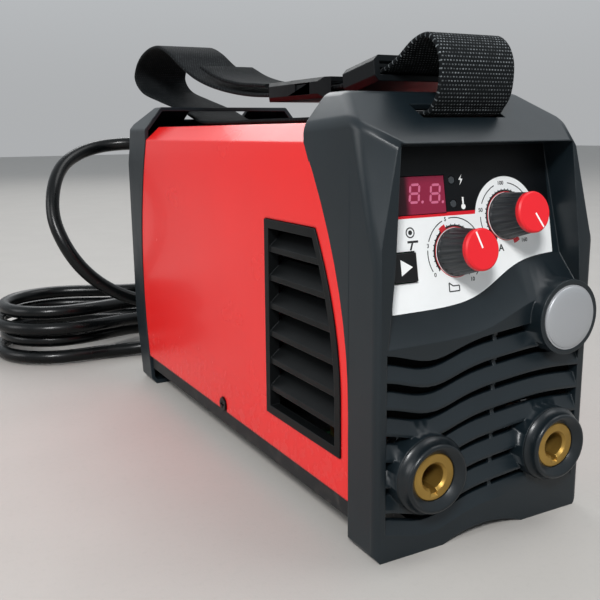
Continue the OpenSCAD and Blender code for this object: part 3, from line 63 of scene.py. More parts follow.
# Corners of a CAD mesh closer than this are one, and edges that turn by more degrees than this stay sharp
MERGE = 0.002 * MM
SHARP = 35.0

# A whole turn in degrees, and its start and end
TURN = 360.0
ROUND: Flat = (0.0, TURN)

# The output sockets' middles are this far to each side and this high
SOCKET: Flat = (33.0, 35.65)

# The control panel leans back by this much, and the current dial's middle is here across and up
PANEL_TILT = math.radians(10.6)
CURRENT_DIAL: Flat = (18.8, 134.4)


class Body(Enum):
    """The bodies that pieces ride on."""

    CASING = "casing"
    ARC_KNOB = "arc_knob_body"
    CURRENT_KNOB = "current_knob_body"
    MODE_BUTTON = "mode_button_body"
    POWER_ROCKER = "power_rocker_body"


class Slot(Enum):
    """The record's material slots, listed beside the rounded parts; no piece is given one."""

    LEAD = "lead_rubber"
    WEBBING = "webbing"
    BUCKLE = "buckle_plastic"
    PRINT = "label_print"
    DISPLAY = "display_red"
    BUTTON = "button_plastic"
    KNOB = "knob_red"
    ROCKER = "rocker_red"
    BRASS = "brass"
    INSULATOR = "insulator_plastic"
    KNOB_BODY = "knob_plastic"
    BEZEL = "bezel_plastic"


def place(x: float, depth: float, z: float) -> Vector:
    """Turns millimetres, with the depth counted from the front face, into the frame's metres."""
    return Vector((x, depth + FRONT, z)) * MM


def dimmed(colour: Colour, share: float) -> Colour:
    """Gives a colour with its light cut to a share."""
    return tuple(c * share for c in colour[:3]) + (1.0,)


def tint(code: str) -> Colour:
    """Turns a screen colour into linear light.

    Args:
        code: Six hexadecimal digits, red first.

    Returns:
        The colour with an alpha of one.
    """
    parts = [int(code[i:i + 2], 16) / 255 for i in (0, 2, 4)]
    light = [p / 12.92 if p <= 0.04045 else ((p + 0.055) / 1.055) ** 2.4 for p in parts]
    return (light[0], light[1], light[2], 1.0)


def spline(points: Sequence[Point], steps: int, closed: bool = False) -> list[Vector]:
    """Runs a smooth curve through points.

    Args:
        points: The points to pass through.
        steps: Steps from each point to the next.
        closed: Whether the curve returns to its first point.

    Returns:
        The points of the curve.
    """
    p = [Vector(q) for q in points]
    n = len(p)
    spans = n if closed else n - 1
    curve = []
    for i in range(spans):
        b, c = p[i], p[(i + 1) % n]
        a = p[i - 1] if closed or i > 0 else 2 * b - c
        d = p[(i + 2) % n] if closed or i + 2 < n else 2 * c - b
        for j in range(steps):
            t = j / steps
            curve.append(0.5 * (2 * b + (c - a) * t + (2 * a - 5 * b + 4 * c - d) * t ** 2
                                + (3 * b - a - 3 * c + d) * t ** 3))
    return curve if closed else curve + [p[-1]]


class Value:
    """A number in a node tree; arithmetic on it adds Math nodes."""

    def __init__(self, tree: "Tree", socket: bpy.types.NodeSocket) -> None:
        """Keeps the tree and the socket that gives the number."""
        self.tree = tree
        self.socket = socket

    def _math(self, operation: str, *operands: "Value | float") -> "Value":
        """Adds one Math node, whose sockets take the operands in order, and gives its result."""
        return self.tree.value("ShaderNodeMath", {"operation": operation}, dict(enumerate(operands)))

    def __add__(self, other: "Value | float") -> "Value":
        """Adds."""
        return self._math("ADD", self, other)

    __radd__ = __add__

    def __sub__(self, other: "Value | float") -> "Value":
        """Takes other away."""
        return self._math("SUBTRACT", self, other)

    def __rsub__(self, other: float) -> "Value":
        """Takes this away from a number."""
        return self._math("SUBTRACT", other, self)

    def __mul__(self, other: "Value | float") -> "Value":
        """Multiplies."""
        return self._math("MULTIPLY", self, other)

    __rmul__ = __mul__

    def __truediv__(self, other: "Value | float") -> "Value":
        """Divides."""
        return self._math("DIVIDE", self, other)

    def __rtruediv__(self, other: float) -> "Value":
        """Divides a number by this."""
        return self._math("DIVIDE", other, self)

    def __pow__(self, other: "Value | float") -> "Value":
        """Raises to a power."""
        return self._math("POWER", self, other)

    def __rpow__(self, other: float) -> "Value":
        """Raises a number to this power."""
        return self._math("POWER", other, self)

    def __abs__(self) -> "Value":
        """Drops the sign."""
        return self._math("ABSOLUTE", self)

    def sine(self) -> "Value":
        """Takes the sine."""
        return self._math("SINE", self)

    def cosine(self) -> "Value":
        """Takes the cosine."""
        return self._math("COSINE", self)

    def fraction(self) -> "Value":
        """Keeps what is left over a whole number."""
        return self._math("FRACT", self)

    def floor(self) -> "Value":
        """Rounds down."""
        return self._math("FLOOR", self)

    def root(self) -> "Value":
        """Takes the square root."""
        return self._math("SQRT", self)

    def most(self, other: "Value | float") -> "Value":
        """Takes the greater of two."""
        return self._math("MAXIMUM", self, other)

    def least(self, other: "Value | float") -> "Value":
        """Takes the lesser of two."""
        return self._math("MINIMUM", self, other)

    def rise(self, low: float, high: float) -> "Value":
        """Climbs smoothly from nought at low to one at high, by a Map Range node."""
        ends = {"Value": self, "From Min": low, "From Max": high}
        return self.tree.value("ShaderNodeMapRange", {"interpolation_type": "SMOOTHSTEP"}, ends)


class Tree:
    """A node tree that is filled by one method."""

    def __init__(self, tree: bpy.types.NodeTree) -> None:
        """Keeps the tree."""
        self.tree = tree

    def node(self, kind: str, settings: dict[str, object] | None = None,
             sockets: dict[str | int, object] | None = None) -> bpy.types.Node:
        """Adds a node.

        Args:
            kind: The node's type.
            settings: Properties, which are set first.
            sockets: Values or links for the inputs, by name or number.

        Returns:
            The node.
        """
        made = self.tree.nodes.new(kind)
        for name, setting in (settings or {}).items():
            setattr(made, name, setting)
        for key, given in (sockets or {}).items():
            source = given.socket if isinstance(given, Value) else given
            if isinstance(source, bpy.types.NodeSocket):
                self.tree.links.new(source, made.inputs[key])
            else:
                made.inputs[key].default_value = source
        return made

    def value(self, kind: str, settings: dict[str, object] | None = None,
              sockets: dict[str | int, object] | None = None, output: str | int = 0) -> Value:
        """Adds a node and takes one of its outputs, by name or number, as a number."""
        return Value(self, self.node(kind, settings, sockets).outputs[output])

    def mix(self, factor: Value, first: object, second: object) -> bpy.types.NodeSocket:
        """Mixes two colours: first where the factor is nought, second where it is one."""
        node = self.node("ShaderNodeMix", {"data_type": "RGBA"}, {0: factor, 6: first, 7: second})
        return node.outputs[2]


class Shader(Tree):
    """The node tree of a material."""

    EDGE_SAMPLES = 6
    EDGE_TURN = (0.01, 0.12)
    EVEN = (1, 1, 1)

    def __init__(self, name: str) -> None:
        """Starts a material with an empty tree and its Object coordinates.

        Args:
            name: The material's name.
        """
        self.material = bpy.data.materials.new(name)
        self.material.use_nodes = True
        super().__init__(self.material.node_tree)
        self.tree.nodes.clear()
        self.spot = self.node("ShaderNodeTexCoord").outputs["Object"]

    def axes(self, vector: bpy.types.NodeSocket | None = None) -> tuple[Value, Value, Value]:
        """Splits a vector, or the Object coordinates, into its three numbers."""
        split = self.node("ShaderNodeSeparateXYZ", None, {0: vector or self.spot})
        return tuple(Value(self, out) for out in split.outputs)

    def noise(self, size: float, detail: float = 2.0, stretch: Point = EVEN) -> Value:
        """Gives even noise.

        Args:
            size: Size of its patches in metres.
            detail: Finer layers on top.
            stretch: How much finer the patches are along each axis.

        Returns:
            Numbers from nought to one.
        """
        vector = self.spot
        if stretch != self.EVEN:
            vector = self.node("ShaderNodeMapping", None, {"Vector": self.spot, "Scale": stretch}).outputs[0]
        sockets = {"Vector": vector, "Scale": 1 / size, "Detail": detail}
        return self.value("ShaderNodeTexNoise", None, sockets)

    def rounded(self, radius: float) -> bpy.types.NodeSocket:
        """Gives the normal as if edges were rounded to a radius in metres."""
        return self.node("ShaderNodeBevel", {"samples": self.EDGE_SAMPLES}, {"Radius": radius}).outputs[0]

    def rim(self, radius: float) -> Value:
        """Gives one along edges and nought on flat faces.

        Args:
            radius: How far from an edge it reaches, in metres.

        Returns:
            The mask.
        """
        normals = {0: self.rounded(radius), 1: self.node("ShaderNodeNewGeometry").outputs["Normal"]}
        facing = self.value("ShaderNodeVectorMath", {"operation": "DOT_PRODUCT"}, normals, "Value")
        return (1 - facing).rise(*self.EDGE_TURN)

    def close(self, sockets: dict[str | int, object], height: Value | None, depth: float,
              radius: float) -> bpy.types.Material:
        """Ends the tree in a shader.

        Args:
            sockets: What the shader's inputs take.
            height: Relief from nought to one, if any.
            depth: Depth of that relief in metres.
            radius: Radius to which edges look rounded, in metres.

        Returns:
            The material.
        """
        normal = self.rounded(radius) if radius > 0 else None
        if height is not None:
            inputs = {"Height": height, "Distance": depth, "Strength": 1.0}
            if normal:
                inputs["Normal"] = normal
            normal = self.node("ShaderNodeBump", None, inputs).outputs[0]
        if normal:
            sockets = {**sockets, "Normal": normal}
        shader = self.node("ShaderNodeBsdfPrincipled", None, sockets)
        self.node("ShaderNodeOutputMaterial", None, {"Surface": shader.outputs[0]})
        return self.material


Surface = tuple[object, Value | float, Value | None]


@dataclass(frozen=True)
class Finish:
    """A plain finish with a fine grain, an uneven gloss, softened edges and, where asked, edges paled by
    wear and by a painted highlight.
    """

    name: str
    colour: Colour
    roughness: float = 0.45
    metallic: float = 0.0
    coat: float = 0.0
    specular: float = 0.5
    grain: float = 0.7 * MM
    grain_depth: float = 0.012 * MM
    mottle: float = 0.25
    mottle_size: float = 45 * MM
    gloss_drift: float = 0.10
    edge: float = 0.5 * MM
    wear_and_highlight: float = 0.0
    worn_and_lit: Colour = tint("6d7579")
    patch_edges: Flat = (0.3, 0.7)
    edge_mark_size: float = 2.5 * MM
    edge_mark_edges: Flat = (0.35, 0.7)
    edge_mark_least: float = 0.4

    def shade(self, shader: Shader) -> Surface:
        """Works out what varies over the surface.

        Args:
            shader: The material's tree.

        Returns:
            The base colour, the roughness and the relief.
        """
        patches = shader.noise(self.mottle_size, 4.0).rise(*self.patch_edges)
        base = shader.mix(patches, dimmed(self.colour, 1 - self.mottle), self.colour)
        # Edges go paler: partly edge wear, partly a painted highlight where the edges catch the light.
        if self.wear_and_highlight:
            uneven = shader.noise(self.edge_mark_size, 3.0).rise(*self.edge_mark_edges)
            rubbed_and_lit = shader.rim(self.edge) * (self.edge_mark_least + uneven * (1 - self.edge_mark_least))
            base = shader.mix(rubbed_and_lit * self.wear_and_highlight, base, self.worn_and_lit)
        gloss = self.roughness + (shader.noise(self.mottle_size / 3, 3.0) - 0.5) * (2 * self.gloss_drift)
        return base, gloss, shader.noise(self.grain)

    def make(self) -> bpy.types.Material:
        """Builds the material.

        Returns:
            The material.
        """
        shader = Shader(self.name)
        base, gloss, relief = self.shade(shader)
        inputs = {"Base Color": base, "Roughness": gloss, "Metallic": self.metallic,
                  "Coat Weight": self.coat, "Specular IOR Level": self.specular}
        return shader.close(inputs, relief, self.grain_depth, self.edge)


@dataclass(frozen=True)
class PaintedSteel(Finish):
    """Sprayed paint: a shallow orange peel under a gloss, and a little dust low down."""

    dust: Colour = tint("9a8f86")
    dust_top: float = 60 * MM
    dust_share: float = 0.10
    dust_size: float = 6 * MM
    dust_edges: Flat = (0.45, 0.75)

    def shade(self, shader: Shader) -> Surface:
        """Adds dust that thins out with height to the plain finish.

        Args:
            shader: The material's tree.

        Returns:
            The base colour, the roughness and the relief.
        """
        base, gloss, _ = super().shade(shader)
        low = 1 - shader.axes()[2].rise(0.0, self.dust_top)
        dusty = low * shader.noise(self.dust_size, 5.0).rise(*self.dust_edges) * self.dust_share
        base = shader.mix(dusty, base, self.dust)
        return base, gloss + dusty, shader.noise(self.grain, 1.0)


@dataclass(frozen=True)
class Webbing(Finish):
    """Woven strap: rows of short light picks across dark yarn, bright on the front loop as if lit, and
    dimmed by painted shade behind it.
    """

    pick: Colour = tint("8d9396")
    row: float = 1.5 * MM
    stitch: float = 1.5 * MM
    bright_to: float = (FRONT + 44) * MM
    shade_from: float = (FRONT + 60) * MM
    shade_share: float = 0.14
    bar_edges: Flat = (0.08, 0.26)
    dash_edges: Flat = (0.14, 0.34)
    uneven_size: float = 2.2 * MM
    uneven_edges: Flat = (0.35, 0.65)
    uneven_least: float = 0.25
    yarn: float = 0.55 * MM
    fade_size: float = 12 * MM
    fade_edges: Flat = (0.35, 0.75)
    fade_range: Flat = (0.45, 0.5)
    pick_gloss: float = 0.18
    pick_relief: float = 0.7
    yarn_relief: float = 0.3

    def shade(self, shader: Shader) -> Surface:
        """Draws the weave along the webbing, in the piece's own UV metres.

        Args:
            shader: The material's tree.

        Returns:
            The base colour, the roughness and the relief.
        """
        along, across, _ = shader.axes(shader.node("ShaderNodeUVMap", {"uv_map": "UVMap"}).outputs[0])
        rows = along / self.row
        stagger = (rows.floor() * 0.5).fraction()
        cells = across / self.stitch + stagger
        bar = 1 - abs(rows.fraction() - 0.5).rise(*self.bar_edges)
        dash = 1 - abs(cells.fraction() - 0.5).rise(*self.dash_edges)
        uneven = shader.noise(self.uneven_size).rise(*self.uneven_edges)
        picks = bar * dash * (self.uneven_least + (1 - self.uneven_least) * uneven)
        yarn = abs((across / self.yarn).fraction() - 0.5) * 2
        faint, more = self.fade_range
        fade = faint + more * shader.noise(self.fade_size, 3.0).rise(*self.fade_edges)
        # Painted shade: behind the front loop the picks dim, as the strap lies in shade there.
        front = 1 - shader.axes()[1].rise(self.bright_to, self.shade_from) * (1 - self.shade_share)
        base = shader.mix(picks * fade * front, self.colour, self.pick)
        gloss = self.roughness - picks * self.pick_gloss
        return base, gloss, picks * self.pick_relief + yarn * self.yarn_relief


@dataclass(frozen=True)
class TurnedMetal(Finish):
    """Turned metal, with fine rings about an axis along Y."""

    centre: Flat = (0.0, 0.0)
    ring: float = 0.35 * MM
    ring_gloss: float = 0.06
    ring_relief: float = 0.6

    def shade(self, shader: Shader) -> Surface:
        """Cuts the rings into gloss and relief.

        Args:
            shader: The material's tree.

        Returns:
            The base colour, the roughness and the relief.
        """
        base, gloss, _ = super().shade(shader)
        x, y, z = shader.axes()
        away = ((abs(x) - self.centre[0]) ** 2 + (z - self.centre[1]) ** 2).root()
        rings = ((away + y) * (2 * math.pi / self.ring)).sine() * 0.5 + 0.5
        relief = rings * self.ring_relief + shader.noise(self.grain) * (1 - self.ring_relief)
        return base, gloss + rings * self.ring_gloss, relief


@dataclass(frozen=True)
class BrushedMetal(Finish):
    """Metal with brush lines along one axis."""

    lines: Point = (1.0, 30.0, 30.0)
    brush_size: float = 4 * MM
    brush_gloss: float = 0.12

    def shade(self, shader: Shader) -> Surface:
        """Draws the brush lines into gloss and relief.

        Args:
            shader: The material's tree.

        Returns:
            The base colour, the roughness and the relief.
        """
        base, gloss, _ = super().shade(shader)
        brush = shader.noise(self.brush_size, 3.0, self.lines)
        return base, gloss + (brush - 0.5) * self.brush_gloss, brush


@dataclass(frozen=True)
class WoundWire(Finish):
    """Enamelled wire wound in close turns."""

    turn: float = 1.6 * MM
    painted_gap_shade: float = 0.25
    gap_edge: float = 0.5
    gloss_wave: float = 0.02

    def shade(self, shader: Shader) -> Surface:
        """Rounds each turn, and paints shade into the gaps between turns.

        Args:
            shader: The material's tree.

        Returns:
            The base colour, the roughness and the relief.
        """
        x, y, z = shader.axes()
        turns = abs((z * (math.pi / self.turn)).sine())
        # Painted shade: the gaps between turns are dimmed.
        base = shader.mix(turns.rise(0.0, self.gap_edge), dimmed(self.colour, self.painted_gap_shade), self.colour)
        return base, self.roughness + (x + y).sine() * self.gloss_wave, turns


@dataclass(frozen=True)
class CircuitBoard(Finish):
    """Green board with tracks and tinned pads."""

    track: Colour = tint("2f8a55")
    tin: Colour = tint("c9ccc6")
    track_size: float = 12 * MM
    track_width: float = 0.06
    track_relief: float = 0.4
    pad_size: float = 5 * MM
    pad_edges: Flat = (0.12, 0.18)
    pad_gloss: float = 0.15
    pad_relief: float = 0.6

    def shade(self, shader: Shader) -> Surface:
        """Lays tracks by bricks and pads by cells.

        Args:
            shader: The material's tree.

        Returns:
            The base colour, the roughness and the relief.
        """
        bricks = {"Vector": shader.spot, "Scale": 1 / self.track_size, "Mortar Size": self.track_width}
        tracks = shader.value("ShaderNodeTexBrick", {"offset": 0.5}, bricks, "Fac")
        dots = {"Vector": shader.spot, "Scale": 1 / self.pad_size}
        pads = 1 - shader.value("ShaderNodeTexVoronoi", None, dots).rise(*self.pad_edges)
        base = shader.mix(pads, shader.mix(tracks, self.colour, self.track), self.tin)
        relief = tracks * self.track_relief + pads * self.pad_relief
        return base, self.roughness - pads * self.pad_gloss, relief


@dataclass(frozen=True)
class Sleeve(Finish):
    """Printed capacitor sleeve with a pale stripe."""

    stripe: Colour = tint("c8ccd0")
    stripe_edges: Flat = (0.05, 0.09)
    pitch: float = 31 * MM

    def shade(self, shader: Shader) -> Surface:
        """Paints one stripe along each can.

        Args:
            shader: The material's tree.

        Returns:
            The base colour, the roughness and the relief.
        """
        base, gloss, relief = super().shade(shader)
        x = shader.axes()[0]
        band = 1 - abs((x / self.pitch + 0.5).fraction() - 0.5).rise(*self.stripe_edges)
        return shader.mix(band, base, self.stripe), gloss, relief


@dataclass(frozen=True)
class DisplayPane(Finish):
    """Red display pane, painted in shade on its left and painted lighter, as if lit, where the digits are.
    """

    painted_lit: Colour = tint("861f3c")
    painted_lit_from: float = -33.0 * MM
    painted_lit_to: float = -29.5 * MM

    def shade(self, shader: Shader) -> Surface:
        """Paints light on the pane where the digits are, leaving painted shade to their left.

        Args:
            shader: The material's tree.

        Returns:
            The base colour, the roughness and the relief.
        """
        base, gloss, relief = super().shade(shader)
        x = shader.axes()[0]
        # Painted light and shade: dark on the left, lighter from where the digits start.
        return shader.mix(x.rise(self.painted_lit_from, self.painted_lit_to), base, self.painted_lit), gloss, relief


@dataclass(frozen=True)
class PanelPrint(Finish):
    """Printed panel: dark above a red line, white below it and in a round field behind the current knob."""

    white: Colour = tint("e9ebeb")
    red: Colour = tint("cf1f2b")
    line_z: float = 137.1 * MM
    line_half: float = 0.75 * MM
    field: Flat = (CURRENT_DIAL[0] * MM, CURRENT_DIAL[1] * MM)
    field_r: float = 16.9 * MM
    slope: float = math.cos(PANEL_TILT)
    blur: float = 0.08 * MM
    soil: Colour = tint("b9b4a8")
    soil_size: float = 8 * MM
    soil_edges: Flat = (0.4, 0.8)
    soil_share: float = 0.06

    def shade(self, shader: Shader) -> Surface:
        """Paints the three fields on the panel's own plane.

        Args:
            shader: The material's tree.

        Returns:
            The base colour, the roughness and the relief.
        """
        dark, gloss, relief = super().shade(shader)
        x, _, z = shader.axes()
        middle_x, middle_z = self.field
        away = ((x - middle_x) ** 2 + ((z - middle_z) / self.slope) ** 2).root()
        disc = 1 - away.rise(self.field_r - self.blur, self.field_r + self.blur)
        low = 1 - z.rise(self.line_z - self.blur, self.line_z + self.blur)
        white = low.most(disc)
        line = 1 - abs(z - self.line_z).rise(self.line_half - self.blur, self.line_half + self.blur)
        line = line * (1 - disc) * (1 - x.rise(middle_x, middle_x + self.blur))
        soiled = shader.noise(self.soil_size, 4.0).rise(*self.soil_edges) * self.soil_share
        paper = shader.mix(soiled, self.white, self.soil)
        return shader.mix(line, shader.mix(white, dark, paper), self.red), gloss, relief


@dataclass(frozen=True)
class Floor(Finish):
    """Pale even floor."""

    cloud_size: float = 60 * MM
    cloud_edges: Flat = (0.25, 0.75)
    cloud_share: float = 0.6
    fleck_size: float = 3 * MM
    fleck_edges: Flat = (0.5, 0.8)
    fleck_gloss: float = 0.05
    dark_share: float = 0.93

    def shade(self, shader: Shader) -> Surface:
        """Keeps the floor plain, with a faint cloudiness.

        Args:
            shader: The material's tree.

        Returns:
            The base colour, the roughness and the relief.
        """
        cloud = shader.noise(self.cloud_size, 6.0).rise(*self.cloud_edges)
        fleck = shader.noise(self.fleck_size, 4.0).rise(*self.fleck_edges)
        uneven = cloud * self.cloud_share + fleck * (1 - self.cloud_share)
        base = shader.mix(uneven, self.colour, dimmed(self.colour, self.dark_share))
        return base, self.roughness + (fleck - 0.5) * self.fleck_gloss, shader.noise(self.grain, 3.0)


@dataclass(frozen=True)
class PrintedInk(Finish):
    """Printing ink, almost smooth and too thin to have a soft edge."""

    grain: float = 0.2 * MM
    grain_depth: float = 0.002 * MM
    edge: float = 0.0


# The bezels' and louvres' paler edges are partly wear and partly a painted highlight.
BEZEL = Finish("bezel_plastic", tint("131c21"), 0.36, specular=0.38, grain=0.55 * MM, grain_depth=0.02 * MM,
               mottle=0.18, gloss_drift=0.08, edge=0.8 * MM, wear_and_highlight=0.12)
LOUVRE = Finish("louvre_plastic", tint("090b0c"), 0.45, specular=0.16, grain=0.5 * MM, mottle=0.2,
                edge=0.5 * MM, wear_and_highlight=0.12)
RED_PAINT = PaintedSteel("red_paint", tint("e42625"), 0.26, coat=0.1, specular=0.28, grain=1.6 * MM,
                         grain_depth=0.004 * MM, mottle=0.05, mottle_size=90 * MM, gloss_drift=0.04,
                         edge=1.6 * MM)
TRAY_PAINT = PaintedSteel("tray_paint", tint("17191b"), 0.55, specular=0.3, grain=0.9 * MM,
                          grain_depth=0.03 * MM)
BLACK_SCREW = Finish("black_screw", tint("1a1c1e"), 0.38, metallic=0.8, grain=0.4 * MM, edge=0.2 * MM)
ZINC = Finish("zinc", tint("a5abb0"), 0.36, metallic=1.0, grain=0.8 * MM, edge=0.3 * MM)
PANEL = PanelPrint("panel_print", tint("070a0d"), 0.4, specular=0.18, grain=0.4 * MM, grain_depth=0.004 * MM,
                   mottle=0.1, edge=0.0)
PANE = DisplayPane("display_pane", tint("2c0a14"), 0.3, specular=0.25, grain=0.5 * MM,
                   grain_depth=0.001 * MM, mottle=0.15, edge=0.2 * MM)
DIGIT_BLOCK = Finish("digit_block", tint("3a1016"), 0.5)
LAMP = Finish("lamp_plastic", tint("2e3438"), 0.25, coat=0.4, grain=0.3 * MM, edge=0.3 * MM)
BOARD = CircuitBoard("circuit_board", tint("1d5c38"), 0.38, edge=0.0)
KNOB = Finish("knob_plastic", tint("25282b"), 0.36, grain=0.4 * MM, grain_depth=0.008 * MM, edge=0.25 * MM)
KNOB_RED = Finish("knob_red", tint("e0202a"), 0.42, specular=0.3, grain=0.35 * MM, grain_depth=0.006 * MM,
                  mottle=0.05, edge=0.4 * MM)
STEEL = BrushedMetal("shaft_steel", tint("b9bdc0"), 0.3, metallic=1.0)
POT = Finish("potentiometer", tint("2f5aa0"), 0.5)
BUTTON = Finish("button_plastic", tint("0d0f11"), 0.34, specular=0.35, grain=0.4 * MM,
                grain_depth=0.005 * MM, edge=0.6 * MM)
INSULATOR = Finish("insulator_plastic", tint("10171b"), 0.32, specular=0.34, coat=0.05, grain=0.8 * MM,
                   grain_depth=0.006 * MM, gloss_drift=0.06, edge=0.8 * MM)
BRASS = TurnedMetal("socket_brass", tint("a5833f"), 0.36, metallic=0.7, mottle=0.2, mottle_size=9 * MM,
                    grain=0.5 * MM, grain_depth=0.01 * MM, edge=0.5 * MM,
                    centre=(SOCKET[0] * MM, SOCKET[1] * MM))
BRASS_POST = Finish("standoff_brass", tint("b98a3a"), 0.3, metallic=1.0)
BADGE = BrushedMetal("badge_silver", tint("a3a5a8"), 0.42, metallic=0.35, coat=0.15, mottle=0.06,
                     grain_depth=0.004 * MM, edge=0.3 * MM, lines=(2.0, 1.0, 28.0))
WEBBING = Webbing("webbing", tint("0b0e10"), 0.8, specular=0.12, grain_depth=0.16 * MM, edge=0.0)
BUCKLE = Finish("buckle_plastic", tint("0f1214"), 0.45, specular=0.1, grain=0.5 * MM, grain_depth=0.01 * MM,
                edge=0.3 * MM)
SINK = BrushedMetal("sink_aluminium", tint("aeb2b5"), 0.38, metallic=1.0, lines=(25.0, 1.0, 25.0))
CHIP = Finish("chip_plastic", tint("1b1d1f"), 0.55)
FERRITE = Finish("ferrite", tint("3b3d40"), 0.7, grain=0.9 * MM, grain_depth=0.05 * MM)
COPPER_WIRE = WoundWire("copper_wire", tint("b5662c"), 0.3, metallic=0.9, grain_depth=0.4 * MM, edge=0.0)
COPPER_BAR = BrushedMetal("copper_bar", tint("b96c3f"), 0.32, metallic=1.0)
CAPACITOR = Sleeve("capacitor_sleeve", tint("26406b"), 0.3, coat=0.3)
FAN = Finish("fan_plastic", tint("1f2224"), 0.42, edge=0.3 * MM)
SWITCH = Finish("switch_plastic", tint("17191b"), 0.4, edge=0.4 * MM)
ROCKER = Finish("rocker_red", tint("b3231f"), 0.25, coat=0.3, grain=0.4 * MM, grain_depth=0.004 * MM,
                mottle=0.08, edge=0.5 * MM)
RUBBER = Finish("lead_rubber", tint("060809"), 0.28, specular=0.24, grain=0.9 * MM, grain_depth=0.015 * MM,
                mottle=0.3, gloss_drift=0.12, edge=0.4 * MM)
NYLON = Finish("tie_nylon", tint("d3d5d2"), 0.4, grain=0.6 * MM, edge=0.2 * MM)
PIN = BrushedMetal("pin_metal", tint("c6c9cb"), 0.2, metallic=1.0, lines=(1.0, 20.0, 20.0))
FLOOR = Floor("pale_floor", tint("b4b0ab"), 0.7, grain=1.2 * MM, grain_depth=0.05 * MM, edge=0.0)
# Black for the sheets that stand in for shade.
SHADE_SHEET = Finish("gill_shade_sheet", tint("050607"), 0.9, specular=0.05, grain=0.8 * MM, grain_depth=0.05 * MM,
               edge=0.0)
INK_BLACK = PrintedInk("ink_black", tint("16181a"))
INK_RED = PrintedInk("ink_red", tint("d0212c"))
INK_WHITE = PrintedInk("ink_white", tint("f0f1ef"), mottle=0.06)
SEGMENT = PrintedInk("segment_pink", tint("cc6a8a"), specular=0.25, grain=0.3 * MM, mottle=0.08)
THREAD = Finish("stitch_thread", tint("3b4044"), 0.6, grain=0.2 * MM, grain_depth=0.02 * MM, edge=0.0)

CAD_FINISHES: dict[Finish, tuple[str, ...]] = {
    BEZEL: ("front_bezel", "rear_bezel"),
    RED_PAINT: ("cover",),
    TRAY_PAINT: ("base_tray",),
    LOUVRE: ("left_grille", "right_grille"),
    BLACK_SCREW: ("cover_screws", "rear_screws"),
    ZINC: ("tray_screws", "clamp_nuts", "stud_nuts"),
    PANEL: ("control_label",),
    PANE: ("display_window",),
    DIGIT_BLOCK: ("digit_module",),
    LAMP: ("indicator_lamps",),
    BOARD: ("control_board", "power_board"),
    KNOB: ("arc_knob", "current_knob"),
    KNOB_RED: ("arc_knob_cap", "current_knob_cap"),
    STEEL: ("arc_shaft", "current_shaft"),
    POT: ("arc_potentiometer", "current_potentiometer"),
    BUTTON: ("mode_button", "button_switch"),
    INSULATOR: ("left_insulator", "right_insulator"),
    BRASS: ("left_socket", "right_socket"),
    BRASS_POST: ("standoffs",),
    BADGE: ("badge",),
    WEBBING: ("strap", "strap_tail"),
    BUCKLE: ("buckle_socket", "buckle_clip", "strap_slide"),
    SINK: ("left_heat_sink", "right_heat_sink"),
    CHIP: ("transistors", "rectifier"),
    FERRITE: ("transformer_core",),
    COPPER_WIRE: ("transformer_winding", "output_choke"),
    COPPER_BAR: ("bus_bars",),
    CAPACITOR: ("capacitors",),
    FAN: ("fan_frame", "fan_rotor"),
    SWITCH: ("switch_body", "cable_gland"),
    ROCKER: ("power_rocker",),
    RUBBER: ("strain_relief", "mains_lead", "mains_hank", "lead_tail", "mains_plug"),
    NYLON: ("hank_tie",),
    PIN: ("plug_pins",),
}


class Wardrobe:
    """Makes each finish's material once."""

    def __init__(self) -> None:
        """Starts with no material made."""
        self.made: dict[Finish, bpy.types.Material] = {}

    def get(self, finish: Finish) -> bpy.types.Material:
        """Gives a finish's material.

        Args:
            finish: The finish.

        Returns:
            Its material, made at the first call.
        """
        if finish not in self.made:
            self.made[finish] = finish.make()
        return self.made[finish]

    def dress_frame(self) -> None:
        """Puts a finish on every CAD node."""
        for finish, nodes in CAD_FINISHES.items():
            for name in nodes:
                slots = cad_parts[name].material_slots
                for slot in slots:
                    slot.material = self.get(finish)
                if not slots:
                    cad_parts[name].data.materials.append(self.get(finish))
                LOG.info("finish %s on %s", finish.name, name)


WARDROBE = Wardrobe()


def linked(name: str, data: bpy.types.ID) -> bpy.types.Object:
    """Makes an object of some data and puts it in the scene.

    Args:
        name: The object's name.
        data: Its mesh, curve, text, lamp or camera.

    Returns:
        The object.
    """
    made = bpy.data.objects.new(name, data)
    bpy.context.scene.collection.objects.link(made)
    return made


def add_piece(name: str, data: bpy.types.ID, finish: Finish, body: Body,
              stands_for: Sequence[str] = ()) -> bpy.types.Object:
    """Adds a piece to the scene, and reports it.

    Args:
        name: The piece's name.
        data: Its mesh or curve, already in place.
        finish: Its finish.
        body: The body that it rides on.
        stands_for: CAD nodes that it replaces.

    Returns:
        The piece's object.
    """
    made = linked(name, data)
    if not data.materials:
        data.materials.append(WARDROBE.get(finish))
    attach(made, body.value)
    if stands_for:
        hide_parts(*stands_for)
    LOG.info("piece %s on %s", name, body.value)
    return made


def smoothed(mesh: bpy.types.Mesh, angle: float) -> None:
    """Shades a mesh smooth, apart from edges that turn by more than an angle in degrees."""
    mesh.shade_smooth()
    mesh.set_sharp_from_angle(angle=math.radians(angle))


def mesh_from(name: str, build: bmesh.types.BMesh, smooth: float | None = None) -> bpy.types.Mesh:
    """Turns a bmesh into a mesh.

    Args:
        name: The mesh's name.
        build: The bmesh, which is freed.
        smooth: Angle in degrees above which edges stay sharp, or None for flat faces.

    Returns:
        The mesh.
    """
    mesh = bpy.data.meshes.new(name)
    build.to_mesh(mesh)
    build.free()
    if smooth is not None:
        smoothed(mesh, smooth)
    return mesh


